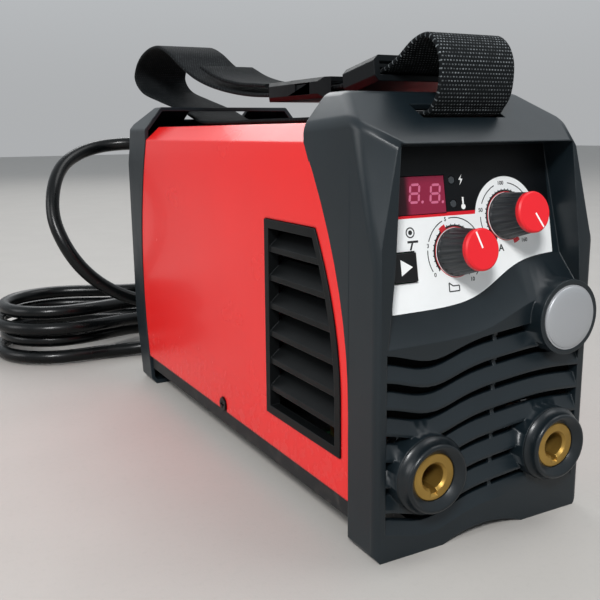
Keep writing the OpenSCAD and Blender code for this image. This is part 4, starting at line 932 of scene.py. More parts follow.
def merged(node: str, flat_angle: float) -> bmesh.types.BMesh:
    """Copies a node's mesh, with its loose triangles joined and its flat faces cleared.

    Args:
        node: The CAD node's name.
        flat_angle: Angle in degrees below which two faces become one.

    Returns:
        The copy.
    """
    build = bmesh.new()
    build.from_mesh(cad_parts[node].data)
    bmesh.ops.remove_doubles(build, verts=build.verts, dist=MERGE)
    bmesh.ops.dissolve_limit(build, angle_limit=math.radians(flat_angle), verts=build.verts,
                             edges=build.edges)
    return build


def wall(build: bmesh.types.BMesh, low: Corners, high: Corners) -> None:
    """Joins two rings of corners by four-sided faces.

    Args:
        build: The mesh that the corners are in.
        low: The first ring.
        high: The second ring, with as many corners.
    """
    for i in range(len(low)):
        j = (i + 1) % len(low)
        build.faces.new((low[i], low[j], high[j], high[i]))


def revolved(name: str, rings: Sequence[tuple[Radius, float]], frame_at: Matrix, sides: int,
             closed: bool = False) -> bpy.types.Mesh:
    """Joins rings about an axis into a solid.

    Args:
        name: The mesh's name.
        rings: Radius, or radius by angle, and height of each ring in millimetres.
        frame_at: The axis's frame; heights run along its third direction.
        sides: Corners of a ring.
        closed: Whether the last ring joins the first, in place of two end faces.

    Returns:
        The mesh.
    """
    build = bmesh.new()
    angles = [2 * math.pi * i / sides for i in range(sides)]
    hoops = []
    for radius, height in rings:
        reach = [radius(a) if callable(radius) else radius for a in angles]
        hoops.append([build.verts.new(frame_at @ (Vector((r * math.cos(a), r * math.sin(a), height)) * MM))
                      for r, a in zip(reach, angles)])
    for low, high in zip(hoops, hoops[1:] + hoops[:1] if closed else hoops[1:]):
        wall(build, low, high)
    if not closed:
        build.faces.new(hoops[0][::-1])
        build.faces.new(hoops[-1])
    bmesh.ops.recalc_face_normals(build, faces=build.faces)
    return mesh_from(name, build, SHARP)


def evened(name: str, mesh: bpy.types.Mesh, smooth: float) -> bpy.types.Mesh:
    """Shades a mesh so that its flat faces stay flat beside its rounds.

    Args:
        name: The new mesh's name.
        mesh: The mesh, which is removed.
        smooth: Angle in degrees above which edges stay sharp.

    Returns:
        The shaded mesh.
    """
    smoothed(mesh, smooth)
    holder = linked(name, mesh)
    weigh = holder.modifiers.new("even", "WEIGHTED_NORMAL")
    weigh.keep_sharp = True
    made = baked(holder)
    bpy.data.meshes.remove(mesh)
    made.name = name
    return made


def baked(source: bpy.types.Object) -> bpy.types.Mesh:
    """Turns an object with its modifiers into a plain mesh.

    Args:
        source: The object, which is removed.

    Returns:
        The mesh.
    """
    bpy.context.view_layer.update()
    graph = bpy.context.evaluated_depsgraph_get()
    mesh = bpy.data.meshes.new_from_object(source.evaluated_get(graph), depsgraph=graph)
    source.modifiers.clear()
    bpy.data.objects.remove(source)
    return mesh


class Geometry(Tree):
    """A Geometry Nodes tree with named inputs."""

    def __init__(self, name: str, inputs: dict[str, str]) -> None:
        """Starts a tree.

        Args:
            name: The tree's name.
            inputs: Each input's name and socket type.
        """
        super().__init__(bpy.data.node_groups.new(name, "GeometryNodeTree"))
        face = self.tree.interface
        face.new_socket("Geometry", in_out="INPUT", socket_type="NodeSocketGeometry")
        for label, kind in inputs.items():
            face.new_socket(label, in_out="INPUT", socket_type=kind)
        face.new_socket("Geometry", in_out="OUTPUT", socket_type="NodeSocketGeometry")
        self.given = self.node("NodeGroupInput").outputs

    def number(self, name: str) -> Value:
        """Takes one of the inputs as a number."""
        return Value(self, self.given[name])

    def finish(self, instances: bpy.types.NodeSocket) -> None:
        """Ends the tree: real meshes, with the material that is given.

        Args:
            instances: What the tree has made.
        """
        real = self.node("GeometryNodeRealizeInstances", None, {0: instances}).outputs[0]
        dressed = self.node("GeometryNodeSetMaterial", None,
                            {"Geometry": real, "Material": self.given["Material"]})
        self.node("NodeGroupOutput", None, {0: dressed.outputs[0]})

    def run(self, name: str, mesh: bpy.types.Mesh, settings: dict[str, object]) -> bpy.types.Mesh:
        """Runs the tree on a mesh.

        Args:
            name: The new mesh's name.
            mesh: What the tree starts from.
            settings: A value for each input.

        Returns:
            The plain mesh that the tree makes.
        """
        holder = linked(name, mesh)
        modifier = holder.modifiers.new(name, "NODES")
        modifier.node_group = self.tree
        for item in self.tree.interface.items_tree:
            if item.in_out == "INPUT" and item.name in settings:
                modifier[item.identifier] = settings[item.name]
        made = baked(holder)
        made.name = name
        return made


class BarRing:
    """Bars set round part of a circle: dial marks, grip ribs and the like."""

    INPUTS = {"Count": "NodeSocketInt", "Start": "NodeSocketFloat", "Sweep": "NodeSocketFloat",
              "Radius": "NodeSocketFloat", "Size": "NodeSocketVector", "Material": "NodeSocketMaterial"}

    def __init__(self) -> None:
        """Builds the tree."""
        tree = Geometry("bar_ring", self.INPUTS)
        index = tree.value("GeometryNodeInputIndex")
        angle = tree.number("Start") + tree.number("Sweep") * index / (tree.number("Count") - 1).most(1)
        radius = tree.number("Radius")
        spot = tree.node("ShaderNodeCombineXYZ", None,
                         {0: angle.cosine() * radius, 1: angle.sine() * radius})
        turn = tree.node("ShaderNodeCombineXYZ", None, {2: angle})
        points = tree.node("GeometryNodePoints", None,
                           {"Count": tree.given["Count"], "Position": spot.outputs[0]})
        bar = tree.node("GeometryNodeMeshCube", None, {"Size": tree.given["Size"]})
        ring = tree.node("GeometryNodeInstanceOnPoints", None, {
            "Points": points.outputs[0], "Instance": bar.outputs[0], "Rotation": turn.outputs[0]})
        tree.finish(ring.outputs[0])
        self.tree = tree

    def mesh(self, name: str, count: int, start: float, sweep: float, radius: float, size: Point,
             finish: Finish) -> bpy.types.Mesh:
        """Makes one ring of bars in the XY plane.

        Args:
            name: The mesh's name.
            count: Number of bars.
            start: Angle of the first bar in degrees.
            sweep: Angle from the first bar to the last, in degrees.
            radius: Radius of the bars' middles in millimetres.
            size: Radial, sideways and axial size of a bar in millimetres.
            finish: The bars' finish.

        Returns:
            The mesh, in metres.
        """
        return self.tree.run(name, bpy.data.meshes.new(name), {
            "Count": count, "Start": math.radians(start), "Sweep": math.radians(sweep),
            "Radius": radius * MM, "Size": tuple(s * MM for s in size), "Material": WARDROBE.get(finish)})


class StitchRow:
    """Stitches at even steps along a line."""

    INPUTS = {"Pitch": "NodeSocketFloat", "Length": "NodeSocketFloat", "Thick": "NodeSocketFloat",
              "Material": "NodeSocketMaterial"}
    THREAD = {"Segments": 8, "Rings": 5, "Radius": 0.5}

    def __init__(self) -> None:
        """Builds the tree."""
        tree = Geometry("stitch_row", self.INPUTS)
        line = tree.node("GeometryNodeMeshToCurve", None, {"Mesh": tree.given["Geometry"]})
        even = tree.node("GeometryNodeResampleCurve", {"mode": "LENGTH"},
                         {"Curve": line.outputs[0], "Length": tree.given["Pitch"]})
        along = tree.node("GeometryNodeInputTangent")
        turn = tree.node("FunctionNodeAlignRotationToVector", {"axis": "X"}, {"Vector": along.outputs[0]})
        thread = tree.node("GeometryNodeMeshUVSphere", None, self.THREAD)
        size = tree.node("ShaderNodeCombineXYZ", None, {
            0: tree.given["Length"], 1: tree.given["Thick"], 2: tree.given["Thick"]})
        row = tree.node("GeometryNodeInstanceOnPoints", None, {
            "Points": even.outputs[0], "Instance": thread.outputs[0], "Rotation": turn.outputs[0],
            "Scale": size.outputs[0]})
        tree.finish(row.outputs[0])
        self.tree = tree

    def mesh(self, name: str, lines: Sequence[Sequence[Vector]], pitch: float, length: float, thick: float,
             finish: Finish) -> bpy.types.Mesh:
        """Sews along lines.

        Args:
            name: The mesh's name.
            lines: Points of each line, in metres.
            pitch: Step from stitch to stitch in millimetres.
            length: Length of a stitch in millimetres.
            thick: Thickness of the thread in millimetres.
            finish: The thread's finish.

        Returns:
            The stitches.
        """
        build = bmesh.new()
        for line in lines:
            corners = [build.verts.new(p) for p in line]
            for a, b in zip(corners, corners[1:]):
                build.edges.new((a, b))
        return self.tree.run(name, mesh_from(name, build), {
            "Pitch": pitch * MM, "Length": length * MM, "Thick": thick * MM,
            "Material": WARDROBE.get(finish)})


@dataclass
class PhotoCamera:
    """The camera that took the photograph."""

    lens: float = 47.906
    nearest: float = 10 * MM
    spot: Point = (-220.6, -240.8, 170.8)
    yaw: float = 0.500
    pitch: float = 0.209
    roll: float = -0.011

    def build(self) -> None:
        """Sets the scene's camera."""
        data = bpy.data.cameras.new("photo_camera")
        data.lens = self.lens
        data.clip_start = self.nearest
        made = linked("photo_camera", data)
        ahead = Vector((math.sin(self.yaw) * math.cos(self.pitch),
                        math.cos(self.yaw) * math.cos(self.pitch), -math.sin(self.pitch)))
        right = Vector((math.cos(self.yaw), -math.sin(self.yaw), 0))
        up = right.cross(ahead)
        across = math.cos(self.roll) * right + math.sin(self.roll) * up
        upright = math.cos(self.roll) * up - math.sin(self.roll) * right
        turn = Matrix((across, upright, -ahead)).transposed()
        made.matrix_world = Matrix.LocRotScale(place(*self.spot), turn.to_quaternion(), None)
        bpy.context.scene.camera = made


@dataclass
class Studio:
    """Pale floor and soft light."""

    floor_half: float = 6.0
    sky: Colour = (0.80, 0.87, 0.94, 1.0)
    sky_strength: float = 0.48
    horizon: Colour = (0.42, 0.43, 0.44, 1.0)
    zenith: Colour = (0.66, 0.70, 0.73, 1.0)
    zenith_from: float = 0.5
    seen_by: tuple[str, ...] = ("Is Camera Ray", "Is Glossy Ray", "Is Transmission Ray")
    lamps: tuple[tuple[str, Point, float, float], ...] = (
        ("key_light", (-1.25, -1.65, 1.58), 0.5, 53.0),
        ("side_light", (-2.2, 0.5, 1.0), 1.2, 12.0),
        ("back_light", (0.5, 2.0, 1.6), 1.4, 14.0),
        ("top_light", (0.9, -0.3, 2.0), 1.2, 13.0),
    )
    aim: Point = (0.0, 0.0, 0.1)

    def build(self) -> None:
        """Lays the floor, hangs the lamps and sets the world."""
        build = bmesh.new()
        bmesh.ops.create_grid(build, x_segments=1, y_segments=1, size=self.floor_half)
        mesh = mesh_from("floor", build)
        mesh.materials.append(WARDROBE.get(FLOOR))
        linked("floor", mesh)
        for name, spot, size, power in self.lamps:
            data = bpy.data.lights.new(name, "AREA")
            data.shape = "DISK"
            data.size = size
            data.energy = power
            lamp = linked(name, data)
            lamp.location = spot
            lamp.rotation_euler = (Vector(self.aim) - Vector(spot)).to_track_quat("-Z", "Y").to_euler()
        self._world()
        bpy.context.scene.view_settings.view_transform = "Standard"

    def _world(self) -> None:
        """Lights with a soft sky, and shows a pale backdrop to the camera and in reflections."""
        world = bpy.data.worlds.new("studio")
        bpy.context.scene.world = world
        world.use_nodes = True
        tree = Tree(world.node_tree)
        tree.tree.nodes.clear()
        path = tree.node("ShaderNodeLightPath").outputs
        camera, glossy, through = (Value(tree, path[kind]) for kind in self.seen_by)
        seen = camera + glossy + through
        soft = tree.node("ShaderNodeBackground", None, {"Color": self.sky, "Strength": self.sky_strength})
        ahead = tree.node("ShaderNodeTexCoord").outputs["Generated"]
        high = tree.value("ShaderNodeSeparateXYZ", None, {0: ahead}, 2).rise(0.0, self.zenith_from)
        backdrop = tree.mix(high, self.horizon, self.zenith)
        shown = tree.node("ShaderNodeBackground", None, {"Color": backdrop, "Strength": 1.0})
        both = tree.node("ShaderNodeMixShader", None, {
            0: seen.least(1.0), 1: soft.outputs[0], 2: shown.outputs[0]})
        tree.node("ShaderNodeOutputWorld", None, {"Surface": both.outputs[0]})


@dataclass
class MainsLead:
    """The mains lead: a free stretch from the rear, a hank on the floor and a tail to the plug."""

    diameter: float = 10.0
    route: tuple[Point, ...] = (
        (-8, 341, 160), (-8, 352, 160), (-11.5, 370, 161), (-20.5, 384, 162), (-34, 394, 162),
        (-51, 398, 160), (-68, 395, 155), (-83, 386, 146), (-93, 374, 131), (-97, 363, 111),
        (-93, 354, 92), (-83, 349, 74), (-68, 347, 59), (-49, 346, 48), (-28, 347, 42),
        (-5, 350, 39.5), (18, 352, 39))
    tail: tuple[Point, ...] = (
        (-60, 352, 6.2), (-46, 349, 6.5), (-32, 344, 8.5), (-18, 337, 12), (-5, 331, 15.5),
        (7, 327, 18), (19, 325, 19.4), (30, 325, 19.4))
    hank_centre: Flat = (-15.0, 402.0)
    hank_run: float = 150.0
    hank_in: float = 38.0
    hank_step: float = 12.5
    hank_rise: float = 10.8
    hank_draw: float = 26.0
    hank_lift: float = 1.2
    layers: int = 4
    run_share: float = 0.26
    turn_points: int = 72
    steps: int = 6
    sides: int = 4
    pieces: tuple[str, ...] = ("cable_gland", "strain_relief", "hank_tie", "mains_plug", "plug_pins")

    def _plan(self, turn: float) -> Flat:
        """Finds the hank's place seen from above.

        Args:
            turn: How many turns the lead has made.

        Returns:
            The place across and along, from the hank's middle.
        """
        near = turn - math.floor(turn + 0.5)
        part = turn - math.floor(turn)
        out = self.hank_in + self.hank_step
        inwards = math.floor(turn) % 2 == 0
        radius = out - self.hank_step * part if inwards else self.hank_in + self.hank_step * part
        half = self.run_share / 2
        if half < abs(near) < 0.5 - half:
            bend = math.radians((abs(near) - half) * 180 / (0.5 - self.run_share) - 90)
            side = math.copysign(1, near)
            return side * (self.hank_run / 2 + radius * math.cos(bend)), radius * math.sin(bend)
        front = abs(near) <= half
        x = near if front else math.copysign(0.5, near) - near
        x *= self.hank_run / self.run_share
        waist = self.hank_draw * math.cos(math.pi * x / self.hank_run) ** 2
        return x, (waist - radius if front else radius - waist)

    def _drop(self, turn: float) -> float:
        """Finds how far down the hank the lead has come.

        Args:
            turn: How many turns the lead has made.

        Returns:
            The number of layers, with a part of one on a slope from layer to layer.
        """
        whole = math.floor(turn + 0.5)
        part = (turn - whole + self.run_share / 2) / self.run_share
        if 0 < whole < self.layers and 0 < part < 1:
            return whole - 1 + part ** 2 * (3 - 2 * part)
        return math.floor(turn)

    def _hank_at(self, turn: float) -> Vector:
        """Finds a point of the hank's centreline.

        Args:
            turn: How many turns the lead has made.

        Returns:
            The point, in millimetres.
        """
        x, y = self._plan(turn)
        level = self.layers - 1 - self._drop(turn)
        return Vector((self.hank_centre[0] + x, self.hank_centre[1] + y,
                       self.hank_lift + self.diameter / 2 + self.hank_rise * level))

    def path(self) -> list[Vector]:
        """Joins the free stretch, the hank and the tail.

        Returns:
            The lead's centreline from the strain relief to the plug, in metres.
        """
        first = self.run_share / 2
        last = self.layers - first
        count = round((last - first) * self.turn_points)
        hank = [self._hank_at(first + (last - first) * i / count) for i in range(count + 1)]
        straight = Vector((self.diameter, 0, 0))
        start = hank[0] - straight
        end = hank[-1] + straight
        free = spline([*self.route, start - straight, start], self.steps)
        tail = spline([end, end + straight, *self.tail], self.steps)
        return [place(*p) for p in [*free, *hank, *tail]]

    def build(self) -> None:
        points = self.path()
        data = bpy.data.curves.new("mains_lead_rubber", "CURVE")
        data.dimensions = "3D"
        data.bevel_depth = self.diameter / 2 * MM
        data.bevel_resolution = self.sides
        data.use_fill_caps = True
        line = data.splines.new("POLY")
        line.points.add(len(points) - 1)
        for spot, point in zip(line.points, points):
            spot.co = (*point, 1.0)
        line.use_smooth = True
        lead = add_piece("mains_lead_rubber", data, RUBBER, Body.CASING,
                         ("mains_lead", "mains_hank", "lead_tail"))
        length = sum((b - a).length for a, b in zip(points, points[1:]))
        LOG.info("lead is %.3f m long", length)


@dataclass
class CarryStrap:
    """The webbing strap with its two loops, its free end, and the stitches that hold it."""

    width: float = 38.0
    thick: float = 2.2
    flat_top: float = 186.5
    length: float = 302.0
    run_z: float = 176.3
    run_ends: Flat = (238.0, 52.0)
    run_spans: int = 4
    front: tuple[Point, ...] = (
        (24, -9.4, 0), (18.4, -6.6, 0), (15, -1.8, 0), (13.8, 4.7, 0), (14.2, 11.2, 0), (17.4, 17.2, 0),
        (23.4, 20.8, 0), (32.4, 18.8, 0), (42.5, 13, 0), (52, 9.4, 0), (63, 7.4, 0), (75, 5.6, 0))
    rear: tuple[Point, ...] = (
        (-206, 4, 0), (-182, 4, 0), (-156, 3.8, 0), (-136, 3.6, 1), (-116, 5, 3.5), (-96, 8, 7),
        (-80, 12, 11), (-66, 17.6, 15), (-54, 25.4, 19), (-42, 33, 21.5), (-26, 38, 22), (-8, 38.4, 22),
        (10, 35, 22), (22, 28.8, 22), (26, 20.6, 22), (20, 12, 19), (7, 6, 12), (-5, 1.4, 6),
        (-15, -2.6, 1.5), (-26, -6.4, 0), (-40, -9.4, 0))
    flap: tuple[Point, ...] = (
        (-136, 8.6, 1), (-124, 9.8, 2), (-110, 10.8, 4), (-96, 13.4, 7), (-84, 17, 10), (-72, 22.5, 13))
    flap_width: float = 36.0
    steps: int = 9
    rim: int = 5
    strips: int = 8
    sharp: float = 50.0
    sew_depths: tuple[float, ...] = (80.0, 84.0, 158.0, 162.0)
    sew_pitch: float = 2.6
    sew_length: float = 2.0
    sew_thick: float = 0.7
    sew_inset: float = 4.0
    sew_proud: float = 0.2
    loop_depths: Flat = (30.0, 60.0)

    def _above(self, points: Sequence[Point], back: float) -> list[Point]:
        """Turns strap points into depth, height and lean."""
        return [(p[0] + back, p[1] + self.flat_top, p[2]) for p in points]

    def path(self) -> list[Vector]:
        """Joins the loops and the run between them.

        Returns:
            The strap's closed side view, as depth, height and lean to the left.
        """
        first, last = self.run_ends
        under = [(first + (last - first) * i / self.run_spans, self.run_z, 0)
                 for i in range(self.run_spans + 1)]
        return spline([*self._above(self.front, 0), *self._above(self.rear, self.length), *under],
                      self.steps, closed=True)

    def _section(self, width: float) -> list[Flat]:
        """Draws the webbing's section: two faces joined by round edges.

        Args:
            width: The webbing's width in millimetres.

        Returns:
            The section's points, sideways and outwards.
        """
        r = self.thick / 2
        half = width / 2 - r
        section = []
        for side in (1, -1):
            for i in range(self.rim + 1):
                a = math.pi * (i / self.rim - 0.5)
                section.append((side * (half + r * math.cos(a)), side * r * math.sin(a)))
            for i in range(1, self.strips):
                section.append((side * half * (1 - 2 * i / self.strips), side * r))
        return section

    def _band(self, name: str, path: Sequence[Vector], width: float, closed: bool) -> bpy.types.Mesh:
        """Sweeps the webbing's section along a side view, with UVs in metres.

        Args:
            name: The mesh's name.
            path: Depth, height and lean of each ring.
            width: The webbing's width in millimetres.
            closed: Whether the last ring joins the first.

        Returns:
            The mesh.
        """
        section = self._section(width)
        n, m = len(path), len(section)
        build = bmesh.new()
        layer = build.loops.layers.uv.new("UVMap")
        rings, runs, run = [], [], 0.0
        for i, p in enumerate(path):
            a = path[i - 1] if closed or i else p
            b = path[(i + 1) % n] if closed or i + 1 < n else p
            out = Vector((b.y - a.y, a.x - b.x)).normalized()
            rings.append([build.verts.new(place(s - p.z, p.x - out.x * o, p.y - out.y * o))
                          for s, o in section])
            run += (p - path[i - 1]).length * MM if i else 0.0
            runs.append(run)
        gap = (path[0] - path[-1]).length * MM
        for i in range(n if closed else n - 1):
            j = (i + 1) % n
            for k in range(m):
                q = (k + 1) % m
                face = build.faces.new((rings[i][k], rings[j][k], rings[j][q], rings[i][q]))
                far = runs[j] if j else runs[i] + gap
                spots = ((runs[i], k), (far, k), (far, q), (runs[i], q))
                for loop, (along, side) in zip(face.loops, spots):
                    loop[layer].uv = (along, section[side][0] * MM)
        if not closed:
            build.faces.new(rings[0][::-1])
            build.faces.new(rings[-1])
        bmesh.ops.recalc_face_normals(build, faces=build.faces)
        return mesh_from(name, build, self.sharp)

    def _top_line(self, path: Sequence[Vector], depth: float) -> list[Vector]:
        """Draws a line across the top of the strap's upper run.

        Args:
            path: The strap's side view.
            depth: The line's depth in millimetres.

        Returns:
            The line's two ends, in metres.
        """
        front, rear = self.loop_depths
        upper = [p for p in path if p.y > self.flat_top and front < p.x < self.length - rear]
        near = min(upper, key=lambda p: abs(p.x - depth))
        half = self.width / 2 - self.sew_inset
        z = near.y + self.thick / 2 + self.sew_thick * self.sew_proud
        return [place(-half - near.z, near.x, z), place(half - near.z, near.x, z)]

    def build(self, sewing: StitchRow) -> None:
        """Builds the strap, its free end and the stitches.

        Args:
            sewing: The maker of the stitches.
        """
        path = self.path()
        strap = self._band("strap_webbing", path, self.width, True)
        add_piece(strap.name, strap, WEBBING, Body.CASING, ("strap",))
        flap = spline(self._above(self.flap, self.length), self.steps)
        end = self._band("strap_end_webbing", flap, self.flap_width, False)
        add_piece(end.name, end, WEBBING, Body.CASING, ("strap_tail",))
        lines = [self._top_line(path, depth) for depth in self.sew_depths]
        rows = sewing.mesh("strap_stitches", lines, self.sew_pitch, self.sew_length, self.sew_thick, THREAD)
        add_piece("strap_stitches", rows, THREAD, Body.CASING)


@dataclass
class RoundedParts:
    """Copies of hard CAD pieces with real rounds on their edges."""

    parts: tuple[tuple[str, float, Finish, Body, Slot], ...] = (
        ("buckle_socket", 0.9, BUCKLE, Body.CASING, Slot.BUCKLE),
        ("buckle_clip", 0.9, BUCKLE, Body.CASING, Slot.BUCKLE),
        ("strap_slide", 1.0, BUCKLE, Body.CASING, Slot.BUCKLE),
        ("mode_button", 0.7, BUTTON, Body.MODE_BUTTON, Slot.BUTTON),
    )
    flat_angle: float = 1.0
    segments: int = 3

    def _round(self, node: str, radius: float) -> bpy.types.Mesh:
        """Rounds the edges of a copy of a node's mesh.

        Args:
            node: The CAD node's name.
            radius: Width of the rounding in millimetres.

        Returns:
            The rounded copy.
        """
        name = f"{node}_rounded"
        mesh = mesh_from(name, merged(node, self.flat_angle))
        mesh.materials.clear()
        holder = linked(name, mesh)
        bevel = holder.modifiers.new("round", "BEVEL")
        bevel.width = radius * MM
        bevel.segments = self.segments
        bevel.limit_method = "ANGLE"
        bevel.angle_limit = math.radians(SHARP)
        bevel.harden_normals = False
        return evened(name, baked(holder), SHARP)

    def build(self) -> None:
        """Builds every rounded copy in its node's place."""
        for node, radius, finish, body, slot in self.parts:
            add_piece(f"{node}_rounded", self._round(node, radius), finish, body, (node,))


@dataclass
class RoundedBezels:
    """Copies of the two bezels with their outer ridges rounded, as a moulding's are."""

    front_y: float = -0.05
    rear_y: float = 302.0
    ridge: float = 4.2
    segments: int = 5
    join: float = 3.9
    flat_angle: float = 0.5
    rims: Flat = (54.0, 264.0)
    brow_z: Flat = (117.0, 169.0)
    brow_y: float = 4.0
    foot: float = 5.0
    least_x: float = 40.0
    least_length: float = 6.0
    least_angle: float = 18.0
    sharp_angle: float = 33.0
    decimals: int = 2

    def _spot(self, vert: bmesh.types.BMVert) -> Point:
        """Gives a corner's place in millimetres, rounded so that two meshes can be compared."""
        return tuple(round(c / MM, self.decimals) for c in vert.co)

    def _outer(self, build: bmesh.types.BMesh) -> list[bmesh.types.BMVert]:
        """Finds the corners of a bezel's outer form, without what stands out of its front or rear.

        Args:
            build: The bezel's mesh.

        Returns:
            The corners, in the mesh's order.
        """
        low, high = (place(0, y, 0).y for y in (self.front_y, self.rear_y))
        skin = bmesh.new()
        for vert in build.verts:
            if low < vert.co.y < high:
                skin.verts.new(vert.co)
        hull = bmesh.ops.convex_hull(skin, input=skin.verts)
        inside = set(hull["geom_interior"]) | set(hull["geom_unused"])
        corners = {self._spot(v) for v in skin.verts if v not in inside}
        skin.free()
        return [v for v in build.verts if self._spot(v) in corners]

    def _ridge(self, edge: bmesh.types.BMEdge) -> bool:
        """Tells whether an edge is one to round.

        Args:
            edge: An edge of a bezel.

        Returns:
            Whether it is a long convex corner, away from the floor and from the rim that meets the cover.
        """
        ends = [v.co / MM for v in edge.verts]
        low, high = (y + FRONT for y in self.rims)
        return (len(edge.link_faces) == 2 and edge.calc_length() > self.least_length * MM
                and edge.calc_face_angle_signed(0.0) > math.radians(self.least_angle)
                and all(abs(end.x) > self.least_x for end in ends) and max(end.z for end in ends) > self.foot
                and not all(low < end.y < high for end in ends))

    def _brow(self, edge: bmesh.types.BMEdge) -> bool:
        """Tells whether a ridge runs along the control recess, where there is little room."""
        low, high = self.brow_z
        return all(low < v.co.z / MM < high and v.co.y / MM - FRONT < self.brow_y for v in edge.verts)

    def build(self) -> None:
        """Builds each copy in its node's place."""
        for node in ("front_bezel", "rear_bezel"):
            build = merged(node, self.flat_angle)
            bmesh.ops.remove_doubles(build, verts=self._outer(build), dist=self.join * MM)
            outer = set(self._outer(build))
            ridges = [e for e in build.edges
                      if all(v in outer for v in e.verts) and self._ridge(e) and not self._brow(e)]
            bmesh.ops.bevel(build, geom=ridges, offset=self.ridge * MM, segments=self.segments, profile=0.5,
                            affect="EDGES", clamp_overlap=True)
            LOG.info("%d ridges of %s rounded", len(ridges), node)
            name = f"{node}_rounded"
            mesh = evened(name, mesh_from(name, build), self.sharp_angle)
            mesh.materials.clear()
            add_piece(name, mesh, BEZEL, Body.CASING, (node,))


def shift(x: float, y: float, z: float = 0.0) -> Matrix:
    """Gives the matrix of a move in millimetres."""
    return Matrix.Translation((x * MM, y * MM, z * MM))


@dataclass(frozen=True)
class PanelFrame:
    """The tilted control panel's own plane: sideways, up the slope and out of it."""

    tilt: float = PANEL_TILT
    depth: float = 8.3
    level: float = 100.0
    label: float = 0.5

    def matrix(self, x: float, z: float, lift: float = 0.0) -> Matrix:
        """Gives the plane's frame at a place on the panel.

        Args:
            x: Sideways place in millimetres.
            z: Height in millimetres.
            lift: Distance above the label's face in millimetres.

        Returns:
            A matrix from the plane's metres to the frame.
        """
        out = Vector((0, -math.cos(self.tilt), math.sin(self.tilt)))
        back = self.depth + (z - self.level) * math.tan(self.tilt)
        spot = Vector((x, back, z)) + out * (self.label + lift)
        turn = Matrix.Rotation(math.pi / 2 - self.tilt, 4, "X")
        return Matrix.Translation(place(*spot)) @ turn


class Ink:
    """Collects flat shapes on a plane and raises them into one thin mesh."""

    THICK = 0.06
    ARC_STEP = 6.0
    BOLD = 0.02

    def __init__(self, name: str, thick: float = THICK) -> None:
        """Starts empty.

        Args:
            name: The mesh's name.
            thick: Thickness of the print in millimetres.
        """
        self.name = name
        self.thick = thick
        self.build = bmesh.new()

    def polygon(self, frame_at: Matrix, points: Sequence[Flat]) -> None:
        """Raises one outline.

        Args:
            frame_at: The plane.
            points: The outline, anticlockwise, in millimetres.
        """
        low, high = ([self.build.verts.new(frame_at @ Vector((x * MM, y * MM, level))) for x, y in points]
                     for level in (0.0, self.thick * MM))
        self.build.faces.new(high)
        self.build.faces.new(low[::-1])
        wall(self.build, low, high)

    def bar(self, frame_at: Matrix, a: Flat, b: Flat, width: float) -> None:
        """Draws a straight bar.

        Args:
            frame_at: The plane.
            a: The middle of one end, in millimetres.
            b: The middle of the other.
            width: The bar's width in millimetres.
        """
        start, end = Vector(a), Vector(b)
        along = (end - start).normalized() * width / 2
        side = Vector((-along.y, along.x))
        corners = (start - side, end - side, end + side, start + side)
        self.polygon(frame_at, [tuple(corner) for corner in corners])

    def arc(self, frame_at: Matrix, radius: float, width: float, start: float, end: float) -> None:
        """Draws an arc about the plane's origin, as short bars that share their ends.

        Args:
            frame_at: The plane.
            radius: Radius of the arc's middle in millimetres.
            width: The arc's width in millimetres.
            start: Its first angle in degrees.
            end: Its last angle in degrees.
        """
        count = max(2, round(abs(end - start) / self.ARC_STEP))
        angles = [math.radians(start + (end - start) * i / count) for i in range(count + 1)]
        inner, outer = radius - width / 2, radius + width / 2
        rim = [(outer * math.cos(a), outer * math.sin(a)) for a in angles]
        back = [(inner * math.cos(a), inner * math.sin(a)) for a in angles]
        for i in range(count):
            self.polygon(frame_at, [back[i], rim[i], rim[i + 1], back[i + 1]])

    def text(self, frame_at: Matrix, words: str, size: float) -> None:
        """Sets numbers or a letter, centred on the plane's origin.

        Args:
            frame_at: The plane.
            words: What is set.
            size: Its height in millimetres.
        """
        data = bpy.data.curves.new("figures", "FONT")
        data.body = words
        data.size = size * MM
        data.align_x = "CENTER"
        data.align_y = "CENTER"
        data.offset = self.BOLD * size * MM
        data.extrude = self.thick / 2 * MM
        self.join(baked(linked("figures", data)), frame_at @ shift(0, 0, self.thick / 2))

    def join(self, mesh: bpy.types.Mesh, frame_at: Matrix) -> None:
        """Adds a mesh that lies about the plane's origin.

        Args:
            mesh: The mesh, which is removed.
            frame_at: The plane.
        """
        mesh.transform(frame_at)
        self.build.from_mesh(mesh)
        bpy.data.meshes.remove(mesh)

    def done(self, finish: Finish, body: Body) -> None:
        """Turns what was drawn into a piece."""
        bmesh.ops.recalc_face_normals(self.build, faces=self.build.faces)
        add_piece(self.name, mesh_from(self.name, self.build), finish, body)


@dataclass(frozen=True)
class Dial:
    """One dial's knob and print: where it is, its marks, its figures by angle and its red stretch."""

    node: str
    body: Body
    spot: Flat
    pointer: float
    ticks: int
    start: float
    sweep: float
    figures: tuple[tuple[float, str], ...]
    red: Point


